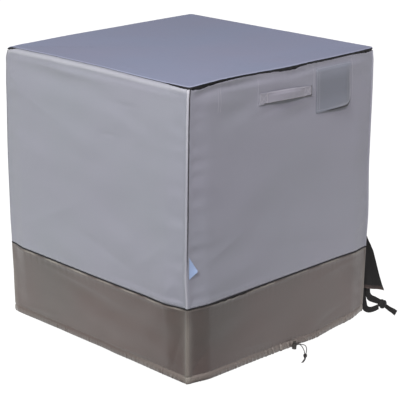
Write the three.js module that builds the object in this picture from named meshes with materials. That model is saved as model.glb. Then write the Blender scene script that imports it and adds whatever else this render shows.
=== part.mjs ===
// A fitted weather cover for a square outdoor air conditioner, as it hangs over its unit.
// The top is one cloth panel with a turned edge. Four wall panels hang from it, and a darker band with a
// corded hem is sewn under them. Dark piping lies in both seams that run round the cover. A webbing
// handle and a hooded vent are sewn to the front, and a cord lock sits on the front hem. A black flap and
// two knotted tie tapes hang from the right side, next to its front corner.
// Millimetres, +Z up. The origin is under the middle of the top, where the cover rests on its unit.
// The front faces -Y. Each side is read from outside: x runs along it from its left corner to its right.

import * as THREE from "three";
import { mergeVertices } from "three/addons/utils/BufferGeometryUtils.js";

// Driving sizes.
const WIDTH = 914;
const HALF = WIDTH / 2;
const SEAM_Z = -735;
const CLOTH = 2;
const GAP = 0.3;
const CORNER_RADIUS = 10;
const CORNER_SEAM = { width: 9, cloth: 3.4 };
const EDGE_ROLL = 1.2;
const TOP_PIPING = 2.6;
const BAND_PIPING = 2.5;
const HEM = { height: 26, puffed: 9, foot: 3.5 };
const HANDLE = { left: -140, right: 117, sewn: 38, cloth: 2.6, bow: 8 };
const VENT = { left: 145, right: 322, bottom: -180, top: -24, round: 26, cloth: 1.6, lift: 10 };
const LABEL = { top: -558, bottom: -632, tipX: -416, tipZ: -607, cloth: 1, lift: 5 };
const LOCK = { x: 37, z: -999, radius: 8, height: 27, lean: 7 };
const CORD = 3;
const FLAP = { y: -447, swing: -12, tab: 24, cloth: 1.6 };
const TAPE_CLOTH = 1.6;

// Each side's outward direction, the direction along it, and the corners at its two ends.
const SIDES = {
  front: { out: [0, -1], along: [1, 0], ends: ["frontLeft", "frontRight"] },
  right: { out: [1, 0], along: [0, 1], ends: ["frontRight", "backRight"] },
  back: { out: [0, 1], along: [-1, 0], ends: ["backRight", "backLeft"] },
  left: { out: [-1, 0], along: [0, -1], ends: ["backLeft", "frontLeft"] },
};
const SIDE_NAMES = Object.keys(SIDES);

// How far each corner stands from the middle, by height: the cloth bellies out between its seams.
// The front left corner also slips round towards the left side between the seams.
const CORNER_REACH = [
  { z: 2, frontLeft: 457, frontRight: 457, backRight: 457, backLeft: 456, slip: 0 },
  { z: -12, frontLeft: 457, frontRight: 458, backRight: 458, backLeft: 459, slip: 1 },
  { z: -40, frontLeft: 458, frontRight: 460, backRight: 460, backLeft: 463, slip: 2 },
  { z: -150, frontLeft: 459, frontRight: 461, backRight: 461, backLeft: 465, slip: 3 },
  { z: -400, frontLeft: 460, frontRight: 461, backRight: 462, backLeft: 467, slip: 4 },
  { z: -620, frontLeft: 462, frontRight: 465, backRight: 463, backLeft: 466, slip: 5 },
  { z: SEAM_Z, frontLeft: 461, frontRight: 463, backRight: 463, backLeft: 464, slip: 1.5 },
  { z: -870, frontLeft: 460, frontRight: 462, backRight: 461, backLeft: 462, slip: 1 },
  { z: -1000, frontLeft: 459, frontRight: 461, backRight: 460, backLeft: 461, slip: 0 },
];

// How far the middle of each side bellies out past the line between its corners, by height.
const BELLY = [
  { z: 2, front: 0, right: 0, back: 0, left: 0 },
  { z: -12, front: -3, right: 0, back: 0, left: 0 },
  { z: -40, front: 3, right: 3, back: 3, left: 3 },
  { z: -150, front: 5, right: 6, back: 6, left: 6 },
  { z: -400, front: 8, right: 9, back: 9, left: 9 },
  { z: SEAM_Z, front: 13, right: 11, back: 11, left: 12 },
  { z: -870, front: 13, right: 9, back: 9, left: 7 },
  { z: -1000, front: 14, right: 7, back: 7, left: 1 },
];
const BELLY_FADE = 95;

// Soft ridges and troughs: place across the side and height, half sizes along and across the fold,
// the lean of its long way in degrees, and how far it rises or, when negative, sinks.
const FOLDS = {
  front: [
    { x: -350, z: -60, long: 90, wide: 26, lean: -8, rise: 3 },
    { x: -235, z: -112, long: 80, wide: 34, lean: 12, rise: -3.5 },
    { x: -60, z: -44, long: 120, wide: 22, lean: -4, rise: 2.5 },
    { x: 60, z: -160, long: 110, wide: 30, lean: 8, rise: -3 },
    { x: 400, z: -120, long: 60, wide: 34, lean: -60, rise: -3 },
    { x: -180, z: -420, long: 240, wide: 70, lean: 24, rise: 3 },
    { x: 210, z: -500, long: 210, wide: 80, lean: -18, rise: -2.5 },
    { x: -250, z: -660, long: 150, wide: 45, lean: 14, rise: 3 },
    { x: 130, z: -985, long: 120, wide: 60, lean: 0, rise: 11 },
    { x: -240, z: -860, long: 170, wide: 40, lean: 8, rise: -3 },
    { x: 330, z: -800, long: 90, wide: 40, lean: -24, rise: -4 },
  ],
  right: [
    { x: -120, z: -220, long: 160, wide: 60, lean: -30, rise: -3 },
    { x: 160, z: -480, long: 220, wide: 80, lean: 20, rise: 4 },
    { x: 60, z: -880, long: 200, wide: 50, lean: 5, rise: -3 },
  ],
  back: [
    { x: 140, z: -240, long: 180, wide: 70, lean: 28, rise: 3 },
    { x: -140, z: -520, long: 220, wide: 80, lean: -16, rise: -3 },
    { x: -60, z: -900, long: 180, wide: 50, lean: -6, rise: 3 },
  ],
  left: [
    { x: -170, z: -66, long: 190, wide: 30, lean: -3, rise: -4 },
    { x: 170, z: -130, long: 110, wide: 30, lean: -16, rise: -2.5 },
    { x: -120, z: -300, long: 260, wide: 70, lean: 30, rise: 3 },
    { x: 120, z: -470, long: 230, wide: 70, lean: 24, rise: -3 },
    { x: 350, z: -690, long: 70, wide: 60, lean: 40, rise: 5 },
    { x: -60, z: -690, long: 210, wide: 40, lean: -8, rise: 3 },
    { x: -40, z: -800, long: 240, wide: 34, lean: -12, rise: -4 },
    { x: 230, z: -960, long: 130, wide: 28, lean: 10, rise: 4 },
  ],
};

// The top edge along each side: how high it lies, and how far its roll stands out over the wall.
const TOP_EDGE = {
  front: [
    { x: -HALF, rise: 4, lip: 2 },
    { x: -400, rise: 7.5, lip: 6 },
    { x: -300, rise: 10, lip: 3.5 },
    { x: -148, rise: 7, lip: 3.5 },
    { x: 20, rise: 4, lip: 6 },
    { x: 106, rise: 4.5, lip: 3.5 },
    { x: 220, rise: 4, lip: 4 },
    { x: HALF, rise: 5.5, lip: 2 },
  ],
  right: [
    { x: -HALF, rise: 5.5, lip: 2 },
    { x: HALF, rise: 5, lip: 2 },
  ],
  back: [
    { x: -HALF, rise: 5, lip: 2 },
    { x: 150, rise: 4, lip: 2.5 },
    { x: 390, rise: 2.5, lip: 2 },
    { x: HALF, rise: -5, lip: 2 },
  ],
  left: [
    { x: -HALF, rise: -5, lip: 2 },
    { x: -405, rise: 2.5, lip: 2 },
    { x: -200, rise: 5, lip: 2 },
    { x: 20, rise: 5, lip: 1.5 },
    { x: 320, rise: 2, lip: 1.5 },
    { x: HALF, rise: 4, lip: 2 },
  ],
};

// How much higher than level the band's seam runs, and the hem's height: the hem sags where the cord
// is loose by the cord lock.
const LOWER_LINES = {
  front: [
    { x: -HALF, seam: 0, hem: -1002 },
    { x: -260, seam: 0, hem: -1004 },
    { x: -30, seam: 0, hem: -1008 },
    { x: 30, seam: 0, hem: -1009 },
    { x: 70, seam: 0, hem: -1007 },
    { x: 150, seam: 0, hem: -1010 },
    { x: 300, seam: -1, hem: -1004 },
    { x: HALF, seam: -4, hem: -1001 },
  ],
  right: [
    { x: -HALF, seam: -4, hem: -1001 },
    { x: 60, seam: -2, hem: -1004 },
    { x: HALF, seam: 0, hem: -1000 },
  ],
  back: [
    { x: -HALF, seam: 0, hem: -1000 },
    { x: -60, seam: -2, hem: -1003 },
    { x: HALF, seam: 4, hem: -1001 },
  ],
  left: [
    { x: -HALF, seam: 4, hem: -1001 },
    { x: -150, seam: 1, hem: -999 },
    { x: 100, seam: 0, hem: -998 },
    { x: HALF, seam: 0, hem: -1002 },
  ],
};

// Where the panels are sampled along each side, and by height down the walls.
const PLACES = {
  front: [-429, -412, -380, -330, -250, -190, -140, -102, -12, 79, 117, 145, 195, 235, 270, 296, 310, 322, 390],
  right: [-435, -423, -390, -300, -150, 0, 150, 300, 400],
  back: [-400, -300, -150, 0, 150, 300, 400],
  left: [-400, -330, -250, -170, -80, 0, 90, 170, 250, 320, 380],
};
const WALL_HEIGHTS = {
  front: [-24, -66, -104, -142, -180, -260, -350, -450, -562, -598, -634, -685],
  right: [-40, -150, -290, -430, -580],
  back: [-40, -150, -290, -430, -580],
  left: [-36, -66, -105, -150, -230, -320, -420, -520, -562, -598, -634, -685],
};
const BAND_PLACES = {
  front: [-380, -290, -200, -110, -30, 40, 90, 140, 190, 250, 320, 390],
  right: PLACES.right,
  back: PLACES.back,
  left: [-390, -300, -200, -100, 0, 100, 180, 260, 340, 400],
};

// A value read from a table of rows by a named column, easing from each row to the next.
function eased(rows, at, key, column) {
  const up = rows[0][at] < rows[rows.length - 1][at] ? 1 : -1;
  const next = rows.findIndex((row) => up * row[at] >= up * key);
  if (next === 0) return rows[0][column];
  if (next < 0) return rows[rows.length - 1][column];
  const [low, high] = [rows[next - 1], rows[next]];
  const t = (key - low[at]) / (high[at] - low[at]);
  return THREE.MathUtils.lerp(low[column], high[column], t * t * (3 - 2 * t));
}

const edgeRise = (side, x) => eased(TOP_EDGE[side], "x", x, "rise");
const edgeLip = (side, x) => eased(TOP_EDGE[side], "x", x, "lip");
const seamLine = (side, x) => SEAM_Z + eased(LOWER_LINES[side], "x", x, "seam");
const hemLine = (side, x) => eased(LOWER_LINES[side], "x", x, "hem");

// How far the cloth stands out from the line between the side's corners.
function standOut(side, x, z) {
  const fade = THREE.MathUtils.smoothstep(HALF - Math.abs(x), CORNER_RADIUS, BELLY_FADE);
  let out = eased(BELLY, "z", z, side);
  for (const fold of FOLDS[side]) {
    const lean = THREE.MathUtils.degToRad(fold.lean);
    const [dx, dz] = [x - fold.x, z - fold.z];
    const alongFold = (dx * Math.cos(lean) + dz * Math.sin(lean)) / fold.long;
    const acrossFold = (dz * Math.cos(lean) - dx * Math.sin(lean)) / fold.wide;
    out += fold.rise * Math.exp(-alongFold * alongFold - acrossFold * acrossFold);
  }
  return out * fade;
}

// How far a side's two corners stand from the middle, in the side's outward direction or along it.
function cornerReach(side, z, slipSign) {
  return SIDES[side].ends.map((corner) => {
    const slip = corner === "frontLeft" ? slipSign * eased(CORNER_REACH, "z", z, "slip") : 0;
    return eased(CORNER_REACH, "z", z, corner) + slip;
  });
}

// The middle of the cloth on a side. Neighbouring sides meet halfway round their rounded corner.
function skin(side, x, z) {
  const { out, along } = SIDES[side];
  const towardsLeft = side === "left" ? 1 : -1;
  const [outLeft, outRight] = cornerReach(side, z, towardsLeft);
  const [alongLeft, alongRight] = cornerReach(side, z, -towardsLeft);
  const straight = HALF - CORNER_RADIUS;
  const t = THREE.MathUtils.clamp((x + straight) / (2 * straight), 0, 1);
  let walk = THREE.MathUtils.lerp(CORNER_RADIUS - alongLeft, alongRight - CORNER_RADIUS, t);
  let stand = THREE.MathUtils.lerp(outLeft, outRight, t) + standOut(side, x, z);
  const past = Math.abs(x) - straight;
  if (past > 0) {
    const turn = (past / CORNER_RADIUS) * (Math.PI / 4);
    walk += Math.sign(x) * CORNER_RADIUS * Math.sin(turn);
    stand -= CORNER_RADIUS * (1 - Math.cos(turn));
  }
  return new THREE.Vector3(along[0] * walk + out[0] * stand, along[1] * walk + out[1] * stand, z);
}

// The level direction in which the cloth faces there.
function facing(side, x, z) {
  const across = skin(side, x + 1, z).sub(skin(side, x - 1, z));
  return new THREE.Vector3(across.y, -across.x, 0).normalize();
}

// A point that stands out from the cloth's middle by that much.
const over = (side, x, z, by) => skin(side, x, z).addScaledVector(facing(side, x, z), by);

// Evenly spaced values from one number to another.
const spaced = (from, to, steps) =>
  Array.from({ length: steps + 1 }, (_, i) => THREE.MathUtils.lerp(from, to, i / steps));

// Points and faces as a closed geometry whose faces all point outwards.
function closedGeometry(points, faces) {
  let volume = 0;
  for (let i = 0; i < faces.length; i += 3) {
    const [a, b, c] = [points[faces[i]], points[faces[i + 1]], points[faces[i + 2]]];
    volume += a.dot(b.clone().cross(c));
  }
  if (volume < 0) faces.reverse();
  const geometry = new THREE.BufferGeometry().setFromPoints(points);
  geometry.setIndex(faces);
  return mergeVertices(geometry, 1e-4);
}

// The two triangles between four points that follow each other round a cell.
const cell = (a, b, c, d) => [a, b, c, a, c, d];

// A solid from rings of points that join in turn. It ends on its rings' centres, or closes on itself.
function ringSolid(rings, loop = false) {
  const points = rings.flat();
  const count = rings[0].length;
  const last = rings.length - 1;
  const faces = [];
  for (let r = 0; r < rings.length - (loop ? 0 : 1); r++)
    for (let i = 0; i < count; i++) {
      const j = (i + 1) % count;
      const [here, next] = [r * count, ((r + 1) % rings.length) * count];
      faces.push(...cell(here + i, here + j, next + j, next + i));
    }
  for (const r of loop ? [] : [0, last]) {
    points.push(rings[r].reduce((sum, p) => sum.add(p), new THREE.Vector3()).divideScalar(count));
    for (let i = 0; i < count; i++) {
      const edge = [r * count + i, r * count + ((i + 1) % count)];
      faces.push(points.length - 1, ...(r === 0 ? edge.reverse() : edge));
    }
  }
  return closedGeometry(points, faces);
}

// A sheet from rows of points on its one face and rows on its other, closed round its edge.
// Both faces are cut along the same diagonals, which keeps the sheet's thickness even.
function sheetSolid(face, back) {
  const points = [...face.flat(), ...back.flat()];
  const [wide, high] = [face[0].length, face.length];
  const behind = wide * high;
  const faces = [];
  for (let r = 0; r + 1 < high; r++)
    for (let c = 0; c + 1 < wide; c++) {
      const [p, s] = [r * wide + c, (r + 1) * wide + c + 1];
      faces.push(...cell(p, p + 1, s, s - 1));
      faces.push(...cell(behind + p, behind + s - 1, behind + s, behind + p + 1));
    }
  const rim = [];
  for (let c = 0; c < wide; c++) rim.push(c);
  for (let r = 1; r < high; r++) rim.push(r * wide + wide - 1);
  for (let c = wide - 2; c >= 0; c--) rim.push((high - 1) * wide + c);
  for (let r = high - 2; r > 0; r--) rim.push(r * wide);
  rim.forEach((p, i) => {
    const q = rim[(i + 1) % rim.length];
    faces.push(...cell(p, behind + p, behind + q, q));
  });
  return closedGeometry(points, faces);
}

// A sheet over a side: place(column, row) gives its x, z, height over the cloth and thickness.
function sideSheet(side, columns, rows, place) {
  const layer = (by) =>
    rows.map((row) =>
      columns.map((column) => {
        const { x, z, lift, thick } = place(column, row);
        return over(side, x, z, lift + by * thick);
      }),
    );
  return sheetSolid(layer(0.5), layer(-0.5));
}

// Colours and finishes, one material for each kind of cloth or trim.
const finish = (color, roughness) => new THREE.MeshStandardMaterial({ color, roughness, metalness: 0 });
const TOP_CLOTH = finish(0x8b8fa5, 0.55);
const WALL_CLOTH = finish(0x9a9aa4, 0.55);
const BAND_CLOTH = finish(0x6e6662, 0.5);
const PIPING_CLOTH = finish(0x26242a, 0.6);
const FLAP_CLOTH = finish(0x201d1e, 0.85);
const TIE_WEBBING = finish(0x1c1a1a, 0.8);
const LABEL_CLOTH = finish(0xa9bddb, 0.6);
const LOCK_PLASTIC = finish(0x35322f, 0.45);
const CORD_YARN = finish(0x2a2626, 0.8);

const cover = new THREE.Group();

function add(name, geometry, material) {
  const mesh = new THREE.Mesh(geometry, material);
  mesh.name = name;
  cover.add(mesh);
}

// The columns of a panel that ends in its corner seams, and of a ring that runs on round the corners.
const BEND = [HALF - CORNER_RADIUS, HALF - CORNER_RADIUS / 2];
const panelColumns = (places) => [GAP - HALF, -BEND[1], -BEND[0], ...places, ...BEND, HALF - GAP];
const ringColumns = (places) => [-BEND[1], -BEND[0], ...places, ...BEND, HALF];
const round = (place) => SIDE_NAMES.flatMap((side) => ringColumns(PLACES[side]).map((x) => place(side, x)));

// The top panel: a sheet whose edge is turned under, and lies out over the walls' heads.
function topPanel() {
  // The edge's section, from its inner foot round to the top: distance in from the lip, and height.
  const edgeSection = [
    { inset: 15, z: 0 },
    { inset: 10, z: -EDGE_ROLL },
    { inset: 1.6, z: -EDGE_ROLL },
    { inset: 0, z: 1 - EDGE_ROLL },
    { inset: 0.6, z: CLOTH - 1 },
    { inset: 3, z: CLOTH },
    { inset: 15, z: CLOTH },
  ];
  const shares = [0.05, 0.4, 0.68, 0.9];
  const sheetRing = (share, z) =>
    round((side, x) => {
      const edge = skin(side, x, CLOTH);
      return edge.set(edge.x * share, edge.y * share, z + edgeRise(side, x) * share ** 6);
    });
  return ringSolid([
    ...shares.map((share) => sheetRing(share, 0)),
    ...edgeSection.map(({ inset, z }) =>
      round((side, x) => over(side, x, CLOTH, edgeLip(side, x) - inset).setZ(z + edgeRise(side, x))),
    ),
    ...shares.toReversed().map((share) => sheetRing(share, CLOTH)),
  ]);
}
add("top_panel", topPanel(), TOP_CLOTH);

// A loop of piping cord that follows a line round all four sides.
function pipingLoop(radius, proud, lineZ) {
  const sides = 6;
  return ringSolid(
    round((side, x) =>
      spaced(0, 2 * Math.PI, sides)
        .slice(1)
        .map((angle) => {
          const z = lineZ(side, x);
          const edge = over(side, x, z, proud + radius * Math.cos(angle));
          return edge.setZ(z + radius * Math.sin(angle));
        }),
    ),
    true,
  );
}
const topPipingZ = (side, x) => edgeRise(side, x) - EDGE_ROLL - GAP - TOP_PIPING;
add("top_piping", pipingLoop(TOP_PIPING, 0, topPipingZ), PIPING_CLOTH);
add("band_piping", pipingLoop(BAND_PIPING, 0.8, seamLine), PIPING_CLOTH);

// The cloth is thicker where two panels' edges are turned in together at a corner.
const panelCloth = (x) => (HALF - Math.abs(x) < CORNER_SEAM.width ? CORNER_SEAM.cloth : CLOTH);

// A wall panel hangs between the piping under the top and the piping of the band.
function wallPanel(side) {
  return sideSheet(side, panelColumns(PLACES[side]), ["head", ...WALL_HEIGHTS[side], "foot"], (x, row) => {
    const ends = { head: topPipingZ(side, x) - TOP_PIPING - GAP, foot: seamLine(side, x) + BAND_PIPING + GAP };
    return { x, z: ends[row] ?? row, lift: 0, thick: panelCloth(x) };
  });
}

// A band panel hangs from the band's piping. Its foot is turned up into a puffed hem for the cord.
function bandPanel(side) {
  const rows = [
    { share: 0, thick: CLOTH },
    { share: 0.25, thick: CLOTH },
    { share: 0.6, thick: CLOTH },
    { share: 1, thick: CLOTH },
    { aboveHem: HEM.height * 0.45, thick: HEM.puffed },
    { aboveHem: 0, thick: HEM.foot },
  ];
  return sideSheet(side, panelColumns(BAND_PLACES[side]), rows, (x, { share, aboveHem, thick }) => {
    const head = seamLine(side, x) - BAND_PIPING - GAP;
    const hem = hemLine(side, x);
    const z = share === undefined ? hem + aboveHem : THREE.MathUtils.lerp(head, hem + HEM.height, share);
    return { x, z, lift: 0, thick: Math.max(thick, panelCloth(x)) };
  });
}

for (const side of SIDE_NAMES) {
  add(`wall_${side}`, wallPanel(side), WALL_CLOTH);
  add(`band_${side}`, bandPanel(side), BAND_CLOTH);
}

// The height of a trim's middle over the cloth's middle, where the trim lies flat on the wall.
const seated = (cloth) => CLOTH / 2 + GAP + cloth / 2;

// The handle: a strap sewn flat at both ends, bowed off the wall between them.
function handle() {
  const [from, to] = [HANDLE.left + HANDLE.sewn, HANDLE.right - HANDLE.sewn];
  const columns = [HANDLE.left, ...spaced(from, to, 8), HANDLE.right];
  // Its two long edges slope down to the right.
  const edges = [
    { leftZ: -66, rightZ: -78 },
    { leftZ: -104, rightZ: -112 },
  ];
  return sideSheet("front", columns, edges, (x, { leftZ, rightZ }) => {
    const share = THREE.MathUtils.clamp((x - from) / (to - from), 0, 1);
    const bow = HANDLE.bow * Math.sin(Math.PI * share) ** 0.8;
    const z = THREE.MathUtils.mapLinear(x, HANDLE.left, HANDLE.right, leftZ, rightZ) + 0.4 * bow;
    return { x, z, lift: seated(HANDLE.cloth) + bow, thick: HANDLE.cloth };
  });
}
add("handle", handle(), WALL_CLOTH);

// The vent's hood: a patch sewn at its head and sides, lifting off the wall towards its open foot.
function ventHood() {
  const columns = PLACES.front.filter((x) => x >= VENT.left && x <= VENT.right);
  const rows = WALL_HEIGHTS.front.filter((z) => z <= VENT.top && z >= VENT.bottom);
  return sideSheet("front", columns, rows, (x, row) => {
    const turn = Math.max(0, x - VENT.right + VENT.round) / VENT.round;
    const foot = VENT.bottom + VENT.round * (1 - Math.sqrt(1 - turn * turn));
    const down = (VENT.top - row) / (VENT.top - VENT.bottom);
    const across = (x - VENT.left) / (VENT.right - VENT.left);
    const swell = Math.sin(Math.PI * across ** 2) ** 0.8 * down ** 1.4;
    const z = THREE.MathUtils.lerp(VENT.top, foot, down);
    return { x, z, lift: seated(VENT.cloth) + VENT.lift * swell, thick: VENT.cloth };
  });
}
add("vent_hood", ventHood(), WALL_CLOTH);

// A small blank label, caught in the front left corner seam and folded to a point.
function label() {
  const seamX = CORNER_RADIUS + 1 - HALF;
  const steps = spaced(0, 1, 2);
  return sideSheet("front", steps, steps, (across, down) => {
    const x = THREE.MathUtils.lerp(seamX, LABEL.tipX, across);
    const head = THREE.MathUtils.lerp(LABEL.top, LABEL.tipZ + 4, across);
    const foot = THREE.MathUtils.lerp(LABEL.bottom, LABEL.tipZ - 4, across);
    const z = THREE.MathUtils.lerp(head, foot, down);
    return { x, z, lift: seated(LABEL.cloth) + LABEL.lift * across * down, thick: LABEL.cloth };
  });
}
add("label", label(), LABEL_CLOTH);

// The flap and its ties hang in one upright plane that swings out from the right wall. s runs out from
// the wall, and back along the wall where it is negative, z is the height, by is a shift backwards, and
// lift is the clearance that the cloth needs where it passes over the band's piping.
function hung(s, z, by, lift = 0) {
  const swing = THREE.MathUtils.degToRad(FLAP.swing);
  const out = new THREE.Vector3(Math.cos(swing), Math.sin(swing), 0);
  const backwards = new THREE.Vector3(-out.y, out.x, 0);
  const alongWall = FLAP.y - Math.min(s, 0);
  const foot = over("right", alongWall, z, seated(FLAP.cloth) + lift + (s < 0 ? by : 0));
  if (s < 0) return foot;
  const corner = s === 0 ? by : 0;
  return foot.addScaledVector(out, s + corner).addScaledVector(backwards, by);
}

// A sheet in that plane, from rows of places.
const hungSheet = (rows, cloth) =>
  sheetSolid(
    ...[-0.5, 0.5].map((share) =>
      rows.map((row) => row.map(({ s, z, by, lift }) => hung(s, z, by + share * cloth, lift))),
    ),
  );

// The flap: sewn to the wall along its tab, with a slanting free edge and a hem that rises to the wall.
function flap() {
  // By height: how far the free edge stands out, how far the cloth waves out of its plane, and its lift.
  const table = [
    { z: -692, reach: 3, wave: 0, lift: 0 },
    { z: -712, reach: 13, wave: 1, lift: 0 },
    { z: -727, reach: 20, wave: 1, lift: 0.4 },
    { z: -739, reach: 26, wave: 2, lift: 2.8 },
    { z: -751, reach: 32, wave: 3, lift: 0.4 },
    { z: -768, reach: 40, wave: 4, lift: 0 },
    { z: -822, reach: 62, wave: 6, lift: 0 },
    { z: -879, reach: 84, wave: 3, lift: 0 },
    { z: -916, reach: 99, wave: -2, lift: 0 },
    { z: -941, reach: 111, wave: -5, lift: 0 },
  ];
  const [hemRise, level, foot] = [36, -768, table[table.length - 1].z];
  const across = spaced(0, 1, 4);
  const rows = table.map(({ z, reach, wave, lift }) => {
    const low = Math.max(0, (level - z) / (level - foot));
    const tab = [-FLAP.tab, -FLAP.tab / 2].map((s) => ({ s, z: z + hemRise * low, by: 0, lift }));
    const sheet = across.map((share) => ({
      s: reach * share,
      z: z + hemRise * low * (1 - share),
      by: wave * Math.sin(Math.PI * share) - 6 * Math.sin(2 * Math.PI * share) * low,
      lift,
    }));
    return [...tab, ...sheet];
  });
  return hungSheet(rows, FLAP.cloth);
}
add("side_flap", flap(), FLAP_CLOTH);

// A tie tape along a route, with its width across the route and its flat face in the flap's plane.
function tape(route) {
  const middle = new THREE.CatmullRomCurve3(route.map(({ s, z, by }) => new THREE.Vector3(s, z, by)));
  const last = route.length - 1;
  const rows = spaced(-0.5, 0.5, 2).map((share) =>
    spaced(0, last, 2 * last).map((step) => {
      const [from, to] = [route[Math.floor(step)], route[Math.ceil(step)]];
      const width = THREE.MathUtils.lerp(from.width, to.width, step % 1);
      const point = middle.getPoint(step / last);
      const way = middle.getTangent(step / last);
      const side = new THREE.Vector2(-way.y, way.x).normalize().multiplyScalar(width * share);
      return { s: point.x + side.x, z: point.y + side.y, by: point.z };
    }),
  );
  return hungSheet(rows, TAPE_CLOTH);
}

// The ties' routes: the upper one is sewn behind the flap's hem, the lower one to the band. Both narrow
// where they enter their knot, and the end that hangs from it opens out again.
const UPPER_TIE = [
  { s: 29, z: -893, by: -1.3, width: 18 },
  { s: 31, z: -918, by: 0.6, width: 17 },
  { s: 35, z: -940, by: 2.2, width: 17 },
  { s: 46, z: -957, by: 3, width: 20 },
  { s: 64, z: -968, by: 2, width: 23 },
  { s: 89.1, z: -982.1, by: 0, width: 20 },
];
const LOWER_TIE = [
  { s: 13.5, z: -899, by: 2.8, width: 24 },
  { s: 13, z: -918, by: 3.4, width: 24 },
  { s: 12.5, z: -938, by: 4.4, width: 24 },
  { s: 14, z: -957, by: 3.6, width: 24 },
  { s: 17.5, z: -976, by: 2, width: 24 },
  { s: 25, z: -996, by: 2, width: 24 },
  { s: 43, z: -1005.5, by: 0, width: 23 },
  { s: 64, z: -1005, by: -2, width: 23 },
  { s: 85, z: -1001.4, by: -2, width: 22 },
];
const TIE_END = [
  { s: 120.1, z: -1005.7, by: 0, width: 15 },
  { s: 142, z: -1023, by: -3, width: 18 },
  { s: 159, z: -1034.5, by: -2, width: 20 },
  { s: 178, z: -1049, by: 2, width: 22 },
];
add("tie_upper", tape(UPPER_TIE), TIE_WEBBING);
add("tie_lower", tape(LOWER_TIE), TIE_WEBBING);
add("tie_end", tape(TIE_END), TIE_WEBBING);

// The ties' knot: a lump of wrapped tape, with a waist between its wraps.
function tieKnot() {
  // Along the knot, from its upper left to its lower right: half height and half depth.
  const table = [
    { along: -19, tall: 7, deep: 3 },
    { along: -16, tall: 13, deep: 8 },
    { along: -9, tall: 16, deep: 12 },
    { along: -2, tall: 15, deep: 10 },
    { along: 5, tall: 18, deep: 13 },
    { along: 13, tall: 15, deep: 10 },
    { along: 18, tall: 8, deep: 4 },
  ];
  const centre = { s: 105, z: -994.5 };
  const lean = THREE.MathUtils.degToRad(-35);
  const way = new THREE.Vector2(Math.cos(lean), Math.sin(lean));
  const sides = 12;
  return ringSolid(
    table.map(({ along, tall, deep }) =>
      spaced(0, 2 * Math.PI, sides)
        .slice(1)
        .map((angle) => {
          const up = tall * Math.sin(angle);
          const s = centre.s + way.x * along - way.y * up;
          return hung(s, centre.z + way.y * along + way.x * up, deep * Math.cos(angle));
        }),
    ),
  );
}
add("tie_knot", tieKnot(), TIE_WEBBING);

// The cord lock: an upright barrel with its button on top, held against the hem by the cord.
const hemFace = over("front", LOCK.x, hemLine("front", LOCK.x) + HEM.height * 0.45, HEM.puffed / 2);
const LOCK_Y = hemFace.y - 2.6 * GAP - LOCK.radius;
function cordLock() {
  const { x, z, radius, height, lean } = LOCK;
  // From the foot up: radius and height.
  const profile = [
    [0, -height / 2],
    [radius - 2, -height / 2],
    [radius, 2.5 - height / 2],
    [radius, 5],
    [radius - 1.2, 7],
    [radius - 2.6, 7.4],
    [radius - 2.6, height / 2 - 1.2],
    [radius - 4, height / 2],
    [0, height / 2],
  ].map(([r, level]) => new THREE.Vector2(r, level));
  const barrel = new THREE.LatheGeometry(profile, 16);
  barrel.rotateX(Math.PI / 2);
  barrel.rotateY(THREE.MathUtils.degToRad(-lean));
  barrel.translate(x, LOCK_Y, z);
  return barrel;
}
add("cord_lock", cordLock(), LOCK_PLASTIC);

// The drawcord's two strands leave the lock side by side and hang down to their knot. y is the
// distance behind the lock's middle.
const CORD_EXIT = { x: LOCK.x + LOCK.radius + 3 * GAP, z: LOCK.z - 1 };
const STRANDS = {
  drawcord_inner: [
    { x: CORD_EXIT.x, z: CORD_EXIT.z, y: 1.7 },
    { x: 54, z: -1001, y: 1.7 },
    { x: 63, z: -1004, y: 1.7 },
    { x: 72, z: -1010, y: 1.7 },
    { x: 81, z: -1019, y: 1.8 },
    { x: 88, z: -1029, y: 1.9 },
    { x: 94, z: -1040, y: 2 },
    { x: 96.5, z: -1050.2, y: 2 },
  ],
  drawcord_outer: [
    { x: CORD_EXIT.x, z: CORD_EXIT.z, y: -1.7 },
    { x: 56, z: -1001.5, y: -1.7 },
    { x: 66, z: -1004, y: -1.8 },
    { x: 77, z: -1008, y: -2.2 },
    { x: 88, z: -1013, y: -3 },
    { x: 96, z: -1021, y: -3.6 },
    { x: 100, z: -1032, y: -3.6 },
    { x: 100.6, z: -1042, y: -2.6 },
    { x: 99.8, z: -1050, y: -1.8 },
  ],
};

function roundCord(route, diameter, steps, flatten = 1) {
  const section = new THREE.Shape();
  section.absellipse(0, 0, diameter / 2, (diameter / 2) * flatten, 0, 2 * Math.PI);
  const path = new THREE.CatmullRomCurve3(route.map(({ x, y, z }) => new THREE.Vector3(x, LOCK_Y + y, z)));
  return new THREE.ExtrudeGeometry(section, { extrudePath: path, steps, curveSegments: 4 });
}
for (const [name, route] of Object.entries(STRANDS)) add(name, roundCord(route, CORD, 12), CORD_YARN);

// The knot in both strands, and their two ends below it, which lie together.
const KNOT = { x: 97.5, top: -1050.8, height: 15.5, radius: 6.8 };
function cordKnot() {
  const { x, top, height, radius } = KNOT;
  const profile = [
    [0, -height],
    [2.6, -height],
    [radius * 0.8, -height * 0.78],
    [radius, -height * 0.55],
    [radius * 0.86, -height * 0.42],
    [radius * 0.95, -height * 0.28],
    [radius * 0.6, 0],
    [0, 0],
  ].map(([r, level]) => new THREE.Vector2(r, level));
  const knot = new THREE.LatheGeometry(profile, 12);
  knot.rotateX(Math.PI / 2);
  knot.translate(x, LOCK_Y, top);
  return knot;
}
add("drawcord_knot", cordKnot(), CORD_YARN);

const CORD_ENDS = [
  { x: 97, z: KNOT.top - KNOT.height - 4 * GAP, y: 0 },
  { x: 95.6, z: -1071.5, y: 0 },
  { x: 89, z: -1076, y: 0 },
  { x: 81, z: -1081, y: 0 },
];
add("drawcord_ends", roundCord(CORD_ENDS, 2 * CORD, 6, 0.6), CORD_YARN);

export default cover;
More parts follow.
